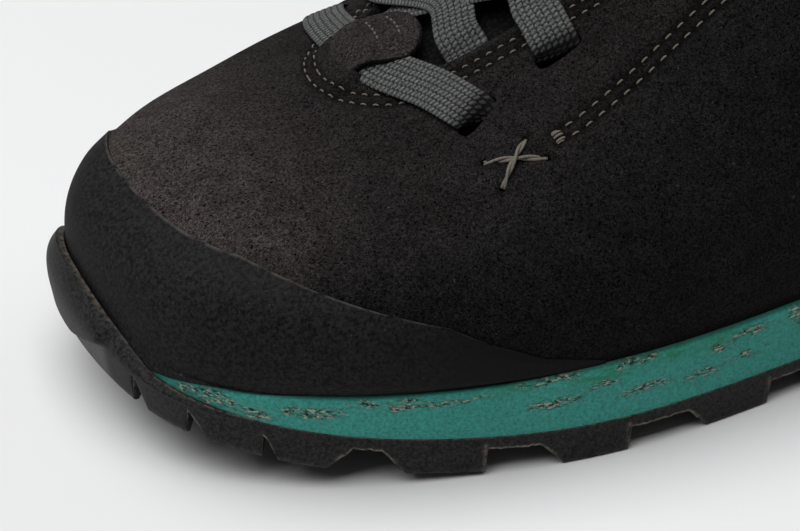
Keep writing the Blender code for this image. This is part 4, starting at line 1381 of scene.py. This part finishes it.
def make_tongue(cloth):
    """Padded tongue under the throat, with rounded edges and a free top above the collar."""
    across = np.sin(np.linspace(-1.0, 1.0, TONGUE_COLUMNS) * math.pi / 2)
    lines = []
    for x in np.linspace(TONGUE_ROWS[0][0], TONGUE_ROWS[-1][0], TONGUE_LINES):
        y, half_width, depth = (table_value(TONGUE_ROWS, x, which) for which in (1, 2, 3))
        lines.append([drape(x, y + k * half_width, -depth - TONGUE_SEAT) for k in across])
    face = np.array([[point for point, _ in line] for line in lines])
    normal = np.array([[direction for _, direction in line] for line in lines])
    steps = np.array(TONGUE_TOP_STEPS, float)
    marks = np.linspace(0.0, 1.0, len(steps))
    base = face[-1]
    middle = base.mean(axis=0)
    top = []
    for share in np.linspace(0.0, 1.0, TONGUE_TOP_LINES)[1:]:
        back, up, narrow = (np.interp(share, marks, steps[:, k]) for k in range(3))
        past = max(0.0, (share - TONGUE_TOP_ROUND) / (1.0 - TONGUE_TOP_ROUND))
        narrow *= math.sqrt(1.0 - past**2 * 0.75)
        top.append(middle + (base - middle) * (1.0, narrow, 1.0) + (back, 0.0, up))
    face = np.concatenate([face, np.stack(top)])
    normal = np.concatenate([normal, np.repeat(normal[-1:], len(top), axis=0)])
    ends = np.ones(len(face))
    ends[-len(TONGUE_TOP_PUFF):] = TONGUE_TOP_PUFF
    puff = np.sqrt(np.clip(1.0 - across**4, 0.0, 1.0))[None, :, None] * ends[:, None, None]
    outside = face + normal * (TONGUE_PUFF * puff - TONGUE_PUFF)
    inside = face - normal * (TONGUE_EDGE + TONGUE_BODY * puff)
    sheets = Sheets()
    sheets.shell(outside, inside)
    tongue = sheets.make("tongue_padded", [cloth], sharp=60)
    dress(tongue, "tongue_cloth", "tongue")


def spline_path(points, spacing):
    """Smooth curve through points with values, read at even steps of its length, and those steps."""
    points = np.asarray(points, float)
    ends = np.vstack([2 * points[0] - points[1], points, 2 * points[-1] - points[-2]])
    fine = []
    for a, b, c, d in zip(ends, ends[1:], ends[2:], ends[3:]):
        for u in np.linspace(0.0, 1.0, 30, endpoint=False):
            fine.append(0.5 * (2 * b + (c - a) * u + (2 * a - 5 * b + 4 * c - d) * u**2
                               + (3 * b - a - 3 * c + d) * u**3))
    fine.append(points[-1])
    fine = np.array(fine)
    run = run_length(fine[:, :3])
    stops = np.linspace(0.0, run[-1], max(2, int(run[-1] / spacing)))
    return np.column_stack([np.interp(stops, run, fine[:, k]) for k in range(fine.shape[1])]), stops


def weave(along, across):
    """Relief of a flat braid, from 0 in its gaps to 1 on its slanted strands."""
    u = across * WEAVE_COLUMNS
    strand = np.floor(u)
    across_strand = u - strand - 0.5
    v = along / WEAVE_PITCH + WEAVE_SLANT * across_strand
    along_strand = v - np.floor(v) - 0.5
    round_across = np.clip(1.0 - (across_strand / STRAND_HALF_WIDTH) ** 4, 0.0, 1.0)
    round_along = np.clip(1.0 - (along_strand / STRAND_HALF_LENGTH) ** 2, 0.0, 1.0)
    return np.sqrt(round_across * round_along)


def add_lace(sheets, route):
    """Woven band along a route of (x, y, lift, width share) rows over the instep."""
    knots = []
    for x, y, lift, width in route:
        point, normal = drape(x, y, lift)
        knots.append([*point, *normal, width])
    path, run = spline_path(knots, LACE_STEP)
    centre = path[:, :3]
    along = unit(np.gradient(centre, axis=0))
    aside = np.cross(path[:, 3:6], along)
    for k in range(1, len(aside)):
        if aside[k] @ aside[k - 1] < 0:
            aside[k] = -aside[k]
    window = np.ones(LACE_SMOOTHING) / LACE_SMOOTHING
    padded = np.pad(unit(aside), ((LACE_SMOOTHING // 2,) * 2, (0, 0)), mode="edge")
    aside = unit(np.stack([np.convolve(padded[:, k], window, mode="valid") for k in range(3)], axis=1))
    normal = unit(np.cross(along, aside))
    normal *= np.sign((normal * path[:, 3:6]).sum(axis=1).mean())
    half = LACE_WIDTH / 2 * path[:, 6]
    # Painted shade on the lace where it dives into the eyelets.
    holes = np.array([centre for centre, _, _ in EYELETS])
    away = np.linalg.norm(centre[:, None] - holes, axis=2).min(axis=1)
    shade = 1.0 - EYELET_SHADE * np.exp(-(away / EYELET_SHADE_REACH) ** 2)
    top_columns = np.linspace(0.0, 1.0, LACE_TOP_COLUMNS)
    under_columns = np.linspace(1.0, 0.0, LACE_UNDER_COLUMNS)[1:-1]
    loops = []
    relief_and_shade = []
    for side, columns in ((1.0, top_columns), (-1.0, under_columns)):
        for k in columns:
            off_middle = abs(2 * k - 1)
            raised = weave(run, np.full_like(run, k))
            body = math.sqrt(max(0.0, 1.0 - off_middle**5)) * (LACE_THICKNESS / 2 - WEAVE_RELIEF)
            height = side * (body + WEAVE_RELIEF * raised * (0.4 + 0.6 * (1 - off_middle**6)))
            loops.append(centre + aside * ((2 * k - 1) * half)[:, None] + normal * height[:, None])
            # The strand value carries the weave's relief and the painted shade by the eyelets; the material
            # paints shade into the gaps.
            relief_and_shade.append(raised * shade)
    sheets.tube(np.stack(loops, axis=1), strand=np.stack(relief_and_shade, axis=1))


def dive(eyelet, towards, after=None):
    """Route rows down through an eyelet and on under the suede to where the lace comes out again."""
    x, y = eyelet
    lean, side = towards
    rows = [(x + way * lean, y + way * side, lift, width) for way, lift, width in DIVE_ROWS]
    if after:
        hidden = (LACE_HIDDEN_LIFT, LACE_HIDDEN_WIDTH)
        rows.append((x + DIVE_STEP[0], y + DIVE_STEP[1] * side, *hidden))
        rows.append(((x + after[0]) / 2, (y + after[1]) / 2, *hidden))
    else:
        way, lift, width = DIVE_END
        rows.append((x, y + way * side, lift, width))
    return rows


def strap_start(row, inner):
    """Place beside the throat's edge where a strap comes out, on one side."""
    if inner:
        x = row[2] + LACE_INNER_STEP
        return x, throat_edges(x)[1] - LACE_EDGE_CLEARANCE
    x = row[0] + LACE_OUTER_STEP
    return x, throat_edges(x)[0] + LACE_EDGE_CLEARANCE


def strap_route(row, after, following, inner):
    """Route of one strap, from under one edge of the throat to the next eyelet across it."""
    start = strap_start(row, inner)
    if inner:
        side = -1.0
        eyelet = row[2:]
        end = after[:2]
        edge = throat_edges(end[0])[0]
        bow_from = (end[0], edge)
        back, reach, lift = LACE_INNER_BOW
        edge_step = LACE_INNER_EDGE_STEP
    else:
        side = 1.0
        eyelet = row[:2]
        end = after[2:]
        edge = throat_edges(end[0])[1]
        bow_from = start
        back, reach, lift = LACE_OUTER_BOW
        edge_step = LACE_OUTER_EDGE_STEP
    route = [
        ((eyelet[0] + start[0]) / 2, (eyelet[1] + start[1]) / 2, LACE_HIDDEN_LIFT, LACE_HIDDEN_WIDTH),
        (*start, LACE_HIDDEN_LIFT, 1),
        (start[0], start[1] + LACE_DIP_REACH * side, LACE_DIP, 1),
        (bow_from[0] + back, bow_from[1] + reach, lift, 1),
        (end[0] - edge_step, edge - LACE_OVER_EDGE * side, LACE_EDGE_LIFT, 1),
    ]
    return route + dive(end, (EYELET_LEAN, -side), following and strap_start(following, not inner))


def make_laces(cloth):
    """Flat woven lace: the bar under the tab and the crossed straps, run through the eyelets."""
    row = EYELET_ROWS[0]
    tail = dive(row[:2], (FIRST_EYELET_LEAN, 1.0), strap_start(row, False))
    head = dive(row[2:], (FIRST_EYELET_LEAN, -1.0), strap_start(row, True))
    sheets = Sheets()
    add_lace(sheets, tail[::-1] + list(LACE_BAR) + head)
    dress(sheets.make("lace_bar_woven", [cloth], sharp=60), "lace", "lace_bar")
    following = list(EYELET_ROWS[2:]) + [None]
    for number, rows in enumerate(zip(EYELET_ROWS, EYELET_ROWS[1:], following), 1):
        sheets = Sheets()
        for inner in (False, True):
            add_lace(sheets, strap_route(*rows, inner))
        dress(sheets.make(f"lace_cross_{number}_woven", [cloth], sharp=60), "lace", f"lace_cross_{number}")


def add_stitch(sheets, start, end, normal, radius, arch=STITCH_ARCH, sink=STITCH_SINK, twist=None):
    """One stitch: a thread that rises out of the suede and dips back into it, twisted if asked."""
    share = np.linspace(0.0, 1.0, STITCH_STEPS if twist is None else TWIST_STEPS)
    angles = np.linspace(0.0, 2 * math.pi, STITCH_SIDES, endpoint=False)
    along = unit(end - start)
    aside = np.cross(along, normal)
    height = arch * np.sin(math.pi * share) ** 0.7 - sink
    centres = start + share[:, None] * (end - start) + height[:, None] * normal
    if twist is not None:
        turn = 2 * math.pi * (CROSS_TWIST * share + twist)
        centres += 0.85 * radius * (np.cos(turn)[:, None] * aside + np.sin(turn)[:, None] * normal)
    thick = radius * (0.85 + 0.15 * np.sin(math.pi * share))
    spokes = np.cos(angles)[:, None] * aside + np.sin(angles)[:, None] * normal
    run = share[:, None] * np.linalg.norm(end - start)
    sheets.tube(centres[:, None] + thick[:, None, None] * spokes, along=run)


def add_tack(sheets, seam):
    """Bar tack at the front end of a seam: short stitches side by side along it."""
    for aside in TACK_ROWS:
        t, s = resample(shifted(seam, aside), TACK_LENGTH)
        points, normals = suede_point(t, s)
        add_stitch(sheets, points[0], points[1], normals[0], TACK_THREAD_RADIUS, *FLAT_STITCH)


def add_tab_rows(sheets, face, normals):
    """Two short stitch rows across the tab."""
    rows, columns = face.shape[:2]
    first, last = (round(share * (columns - 1)) for share in TAB_ROW_ENDS)
    for share in TAB_ROWS:
        row = round(share * (rows - 1))
        line = face[row, first:last + 1]
        run = run_length(line)
        normal = normals[row, (first + last) // 2]
        for stop in np.arange(0.0, run[-1] - TAB_STITCH_PITCH, TAB_STITCH_PITCH):
            ends = [np.array([np.interp(place, run, line[:, k]) for k in range(3)])
                    for place in (stop, stop + STITCH_SHARE * TAB_STITCH_PITCH)]
            add_stitch(sheets, *ends, normal, TAB_THREAD_RADIUS, *FLAT_STITCH)


def make_stitches(thread, tab_face, tab_normals):
    """Stitch rows of throat, quarter and tab, with the bar tacks and the cross stitch."""
    sheets = Sheets()
    for path, pitch in SEAM_PATHS:
        t, s = resample(path, pitch / 2)
        points, normals = suede_point(t, s)
        for k in range(0, len(points) - 1, 2):
            reach = (points[k + 1] - points[k]) * (STITCH_SHARE * 2 - 1)
            add_stitch(sheets, points[k], points[k + 1] + reach, normals[k], THREAD_RADIUS)
    for seam in QUARTER_SEAMS:
        add_tack(sheets, seam)
    add_tab_rows(sheets, tab_face, tab_normals)
    dress(sheets.make("seam_stitches", [thread]), "suede")

    crossed = Sheets()
    for number, arm in enumerate(CROSS_ARMS):
        (start, normal), (end, _) = (suede_point(*place) for place in arm)
        arch = CROSS_ARCHES[number % len(CROSS_ARCHES)]
        for twist in (0.0, 0.5):
            add_stitch(crossed, start, end, normal, CROSS_THREAD_RADIUS, arch, CROSS_SINK, twist)
    dress(crossed.make("cross_stitches", [thread]), "suede")


class Paint:
    """Material with a Principled shader and the nodes that lead to it."""

    def __init__(self, name, **values):
        """Start a material whose constant values are set on the shader's sockets."""
        self.material = bpy.data.materials.new(name)
        self.material.use_nodes = True
        self.tree = self.material.node_tree
        self.shader = self.tree.nodes["Principled BSDF"]
        for key, value in values.items():
            self.shader.inputs[key.replace("_", " ")].default_value = value
        self.place = self.node("ShaderNodeTexCoord").outputs["Object"]
        self.colour = None

    def put(self, socket, value):
        """Give a socket a number, a colour or another node's output."""
        if isinstance(value, bpy.types.NodeSocket):
            self.tree.links.new(value, socket)
        elif isinstance(value, tuple):
            socket.default_value = (*value, 1.0)
        else:
            socket.default_value = value

    def node(self, kind, inputs=None, **settings):
        """New node with its settings and inputs."""
        made = self.tree.nodes.new(kind)
        for name, value in settings.items():
            setattr(made, name, value)
        for name, value in (inputs or {}).items():
            self.put(made.inputs[name], value)
        return made

    def pattern(self, place, scale, detail, roughness, distortion=0.0):
        """Noise from 0 to 1 over a place."""
        return self.node("ShaderNodeTexNoise", {
            "Vector": place, "Scale": scale, "Detail": detail, "Roughness": roughness,
            "Distortion": distortion}).outputs["Fac"]

    def grain(self, size, detail=3.0, roughness=0.6, distortion=0.0):
        """Noise from 0 to 1 with features of a size in millimetres."""
        return self.pattern(self.place, 1.0 / (size * MM), detail, roughness, distortion)

    def value(self, name):
        """Point value of the mesh."""
        return self.node("ShaderNodeAttribute", attribute_name=name).outputs["Fac"]

    def remap(self, value, low, high, to_low=0.0, to_high=1.0):
        """Clamped straight map of a value from one range to another."""
        return self.node("ShaderNodeMapRange", {
            "Value": value, "From Min": low, "From Max": high, "To Min": to_low, "To Max": to_high,
        }).outputs["Result"]

    def product(self, first, second):
        return self.node("ShaderNodeMath", {0: first, 1: second}, operation="MULTIPLY").outputs[0]

    def mix(self, share, first, second, blend="MIX"):
        """Colour between two colours."""
        inputs = {0: share, 6: first, 7: second}
        return self.node("ShaderNodeMix", inputs, data_type="RGBA", blend_type=blend).outputs[2]

    def lay(self, share, colour):
        """Lay a colour over the paint by a share."""
        self.colour = self.mix(share, self.colour, colour)

    def mottle(self, value, low, high, dark, light):
        """Darken and lighten the paint by a value mapped to a factor."""
        self.colour = self.mix(1.0, self.colour, self.remap(value, low, high, dark, light), "MULTIPLY")

    def bump(self, height, depth, strength, after=None):
        """Bump of a depth in millimetres, laid over another bump if one is given."""
        inputs = {"Height": height, "Distance": depth * MM, "Strength": strength}
        if after is not None:
            inputs["Normal"] = after
        return self.node("ShaderNodeBump", inputs).outputs["Normal"]

    def finish(self, normal=None, roughness=None):
        """Join the colour, bump and roughness to the shader and return the material."""
        for name, value in (("Base Color", self.colour), ("Normal", normal), ("Roughness", roughness)):
            if value is not None:
                self.put(self.shader.inputs[name], value)
        return self.material


def suede_material():
    """Dark suede, painted lit where it faces the light and shaded where it faces away, with a brushed grain,
    pits, lint and painted shade along the seams.
    """
    paint = Paint("suede", Roughness=1.0, Sheen_Weight=0.03, Sheen_Roughness=0.5, Specular_IOR_Level=0.0)
    # Fine brushed grain of the suede, used for its mottle and bump, not for painted light.
    nap = paint.grain(0.52, 3.0, 0.8, 1.0)
    pits = paint.grain(0.4, 2.0, 0.7)
    lint = paint.grain(0.7, 1.0, 0.5, 1.5)
    light = paint.mix(paint.remap(paint.grain(26.0), 0.4, 0.62), *SUEDE_LIT)
    # Painted light: the lit colour where the suede faces the light, the shaded colour where it faces away.
    paint.colour = paint.mix(paint.value("nap"), SUEDE_SHADED, light)
    paint.mottle(paint.grain(6.0, 3.0, 0.6, 0.8), 0.3, 0.7, 0.75, 1.25)
    paint.mottle(nap, 0.38, 0.62, 0.05, 2.2)
    paint.lay(paint.remap(pits, 0.45, 0.3, 0.0, 0.85), SUEDE_PIT)
    paint.lay(paint.remap(lint, 0.75, 0.79, 0.0, 0.35), SUEDE_LINT)
    # Painted shade along the seams and painted shadow at the upper's foot.
    paint.lay(paint.remap(paint.value("seam"), 0.25, 1.0, 0.0, 0.8), SUEDE_SEAM_SHADE)
    return paint.finish(paint.bump(pits, 0.2, 0.7, paint.bump(nap, 0.4, 0.8)))


def rand_material():
    """Smooth black rubber with pale specks, painted shade towards the rear, and a worn edge with a painted
    highlight.
    """
    paint = Paint("rand_rubber", Specular_IOR_Level=0.12)
    fine = paint.grain(0.75, 3.0, 0.8)
    specks = paint.grain(0.6, 1.0, 0.5)
    paint.colour = paint.mix(paint.grain(22.0, 2.0), *RAND_CLOUDS)
    paint.mottle(fine, 0.38, 0.62, 0.05, 2.2)
    paint.lay(paint.remap(specks, 0.74, 0.78, 0.0, 0.5), RAND_SPECK)
    # Painted shade towards the rear.
    paint.lay(paint.value("rear"), RAND_REAR_SHADE)
    # Worn edge, partly real wear and partly a painted highlight.
    paint.lay(paint.product(paint.value("edge"), paint.remap(paint.grain(3.0), 0.35, 0.6)), RAND_WORN_HIGHLIGHT)
    return paint.finish(paint.bump(fine, 0.14, 0.6), paint.remap(fine, 0.3, 0.7, 0.65, 0.85))


def rubber_material():
    """Grainy black rubber with a painted reflection on one facet and worn edges."""
    paint = Paint("outsole_rubber", Specular_IOR_Level=0.12)
    fine = paint.grain(0.7, 4.0, 0.8)
    paint.colour = paint.mix(paint.grain(9.0), *RUBBER_CLOUDS)
    paint.mottle(fine, 0.38, 0.62, 0.02, 2.3)
    # Painted reflection on the facet under the bumper.
    paint.lay(paint.value("facet"), RUBBER_FACET_REFLECTION)
    paint.lay(paint.product(paint.value("edge"), paint.remap(paint.grain(1.0), 0.36, 0.62)), RUBBER_WORN)
    return paint.finish(paint.bump(fine, 0.3, 0.6), paint.remap(fine, 0.3, 0.7, 0.42, 0.66))


def foam_material():
    """Teal foam with clusters of dark and pale specks, green patches and painted shade along its top edge."""
    paint = Paint("midsole_foam", Specular_IOR_Level=0.2)
    stretched = paint.product(paint.value("along"), 0.45)
    strip = paint.node("ShaderNodeCombineXYZ", {"X": stretched, "Y": paint.value("up")}).outputs[0]
    streak = paint.pattern(strip, 0.9, 2.0, 0.6)
    dark_specks = paint.pattern(strip, 1.5, 2.0, 0.7)
    pale_specks = paint.pattern(strip, 1.9, 2.0, 0.7)
    fine = paint.grain(0.6, 3.0, 0.7)
    paint.colour = paint.mix(paint.grain(14.0), *FOAM_CLOUDS)
    paint.mottle(fine, 0.32, 0.68, 0.65, 1.35)
    greened = paint.product(paint.value("green"), paint.remap(streak, 0.3, 0.6))
    paint.lay(paint.product(greened, 0.8), FOAM_GREEN)
    cluster = paint.product(paint.remap(paint.value("fleck"), 0.12, 0.5), paint.remap(streak, 0.34, 0.5))
    paint.lay(paint.product(cluster, 0.4), FLECK_DIM)
    dark = paint.product(cluster, paint.remap(dark_specks, 0.48, 0.55))
    paint.lay(paint.product(dark, 0.95), FLECK_DARK)
    pale = paint.product(cluster, paint.remap(pale_specks, 0.53, 0.6))
    paint.lay(paint.product(pale, 0.9), FLECK_PALE)
    # Painted shade along the top edge.
    paint.lay(paint.remap(paint.value("top"), 0.3, 1.0, 0.0, 0.7), FOAM_TOP_SHADE)
    pitted = paint.bump(dark_specks, 0.12, 0.4)
    return paint.finish(paint.bump(fine, 0.08, 0.4, pitted), paint.remap(fine, 0.3, 0.7, 0.55, 0.75))


def lace_material():
    """Grey woven lace, with painted shade in the gaps of its weave and where it dives into the eyelets."""
    paint = Paint("lace_weave", Roughness=0.85, Sheen_Weight=0.05, Specular_IOR_Level=0.1)
    fibres = paint.grain(0.35, 3.0, 0.7)
    # Painted shade in the gaps of the weave and by the eyelets.
    paint.colour = paint.mix(paint.remap(paint.value("strand"), 0.45, 0.95), LACE_GAP_SHADE, LACE_STRAND)
    paint.mottle(fibres, 0.34, 0.66, 0.35, 1.8)
    return paint.finish(paint.bump(fibres, 0.12, 0.6))


def thread_material():
    paint = Paint("stitch_thread", Roughness=0.7, Specular_IOR_Level=0.3)
    ply = paint.grain(0.5, 3.0, 0.7)
    paint.colour = paint.mix(ply, *THREAD_PLY)
    return paint.finish(paint.bump(ply, 0.1, 0.7))


def cloth_material(name, dark, light, cell):
    """Knitted cloth: small round cells with soft fibres between them."""
    paint = Paint(name, Roughness=0.92, Sheen_Weight=0.05, Specular_IOR_Level=0.05)
    knit = paint.node("ShaderNodeTexVoronoi", {
        "Vector": paint.place, "Scale": 1.0 / (cell * MM), "Randomness": 0.9}).outputs["Distance"]
    fibres = paint.grain(0.4, 3.0, 0.7)
    paint.colour = paint.mix(paint.remap(knit, 0.15, 0.55), light, dark)
    paint.lay(paint.remap(fibres, 0.45, 0.75, 0.0, 0.4), light)
    return paint.finish(paint.bump(fibres, 0.1, 0.5, paint.bump(knit, 0.3, -0.7)))


def floor_material():
    paint = Paint("pale_floor", Roughness=0.55, Specular_IOR_Level=0.3)
    paint.colour = paint.mix(paint.grain(400.0, 2.0), *FLOOR_CLOUDS)
    return paint.finish()


def make_floor():
    mesh = bpy.data.meshes.new("floor")
    corners = [(x * FLOOR_HALF, y * FLOOR_HALF, 0.0) for x, y in ((-1, -1), (1, -1), (1, 1), (-1, 1))]
    mesh.from_pydata(corners, [], [(0, 1, 2, 3)])
    mesh.materials.append(floor_material())
    new_object("floor", mesh)


def make_lights():
    """Square softboxes that face the shoe, and a weak white world."""
    for name, place, size, power in SOFTBOXES:
        lamp = bpy.data.lights.new(name, "AREA")
        lamp.shape = "SQUARE"
        lamp.size = size
        lamp.energy = power
        holder = new_object(name, lamp)
        holder.location = place
        holder.rotation_euler = (Vector(LIGHT_AIM) - Vector(place)).to_track_quat("-Z", "Y").to_euler()
    world = bpy.data.worlds.new("studio")
    world.use_nodes = True
    background = world.node_tree.nodes["Background"]
    background.inputs["Color"].default_value = (1.0, 1.0, 1.0, 1.0)
    background.inputs["Strength"].default_value = WORLD_STRENGTH
    bpy.context.scene.world = world
    bpy.context.scene.view_settings.view_transform = "Standard"


def make_camera():
    lens = bpy.data.cameras.new("camera")
    lens.lens = CAMERA_LENS
    lens.sensor_width = SENSOR_WIDTH
    lens.sensor_fit = "HORIZONTAL"
    lens.clip_start = CLIP_START
    camera = new_object("camera", lens)
    camera.location = (np.array(CAMERA_PLACE) - SHOE_CENTRE) * MM
    camera.rotation_euler = Euler([math.radians(angle) for angle in CAMERA_TURN])
    bpy.context.scene.camera = camera


def main():
    suede = suede_material()
    lining = cloth_material("lining_cloth", *LINING_KNIT)
    rubber = rubber_material()
    make_camera()
    tab = make_upper(suede, lining)
    make_rand(rand_material())
    make_midsole(foam_material())
    make_outsole(rubber)
    make_centre_lugs(rubber)
    make_insole(cloth_material("insole_cloth", *INSOLE_KNIT))
    make_tongue(cloth_material("tongue_cloth", *TONGUE_KNIT))
    make_laces(lace_material())
    make_stitches(thread_material(), *tab)
    make_floor()
    make_lights()


main()
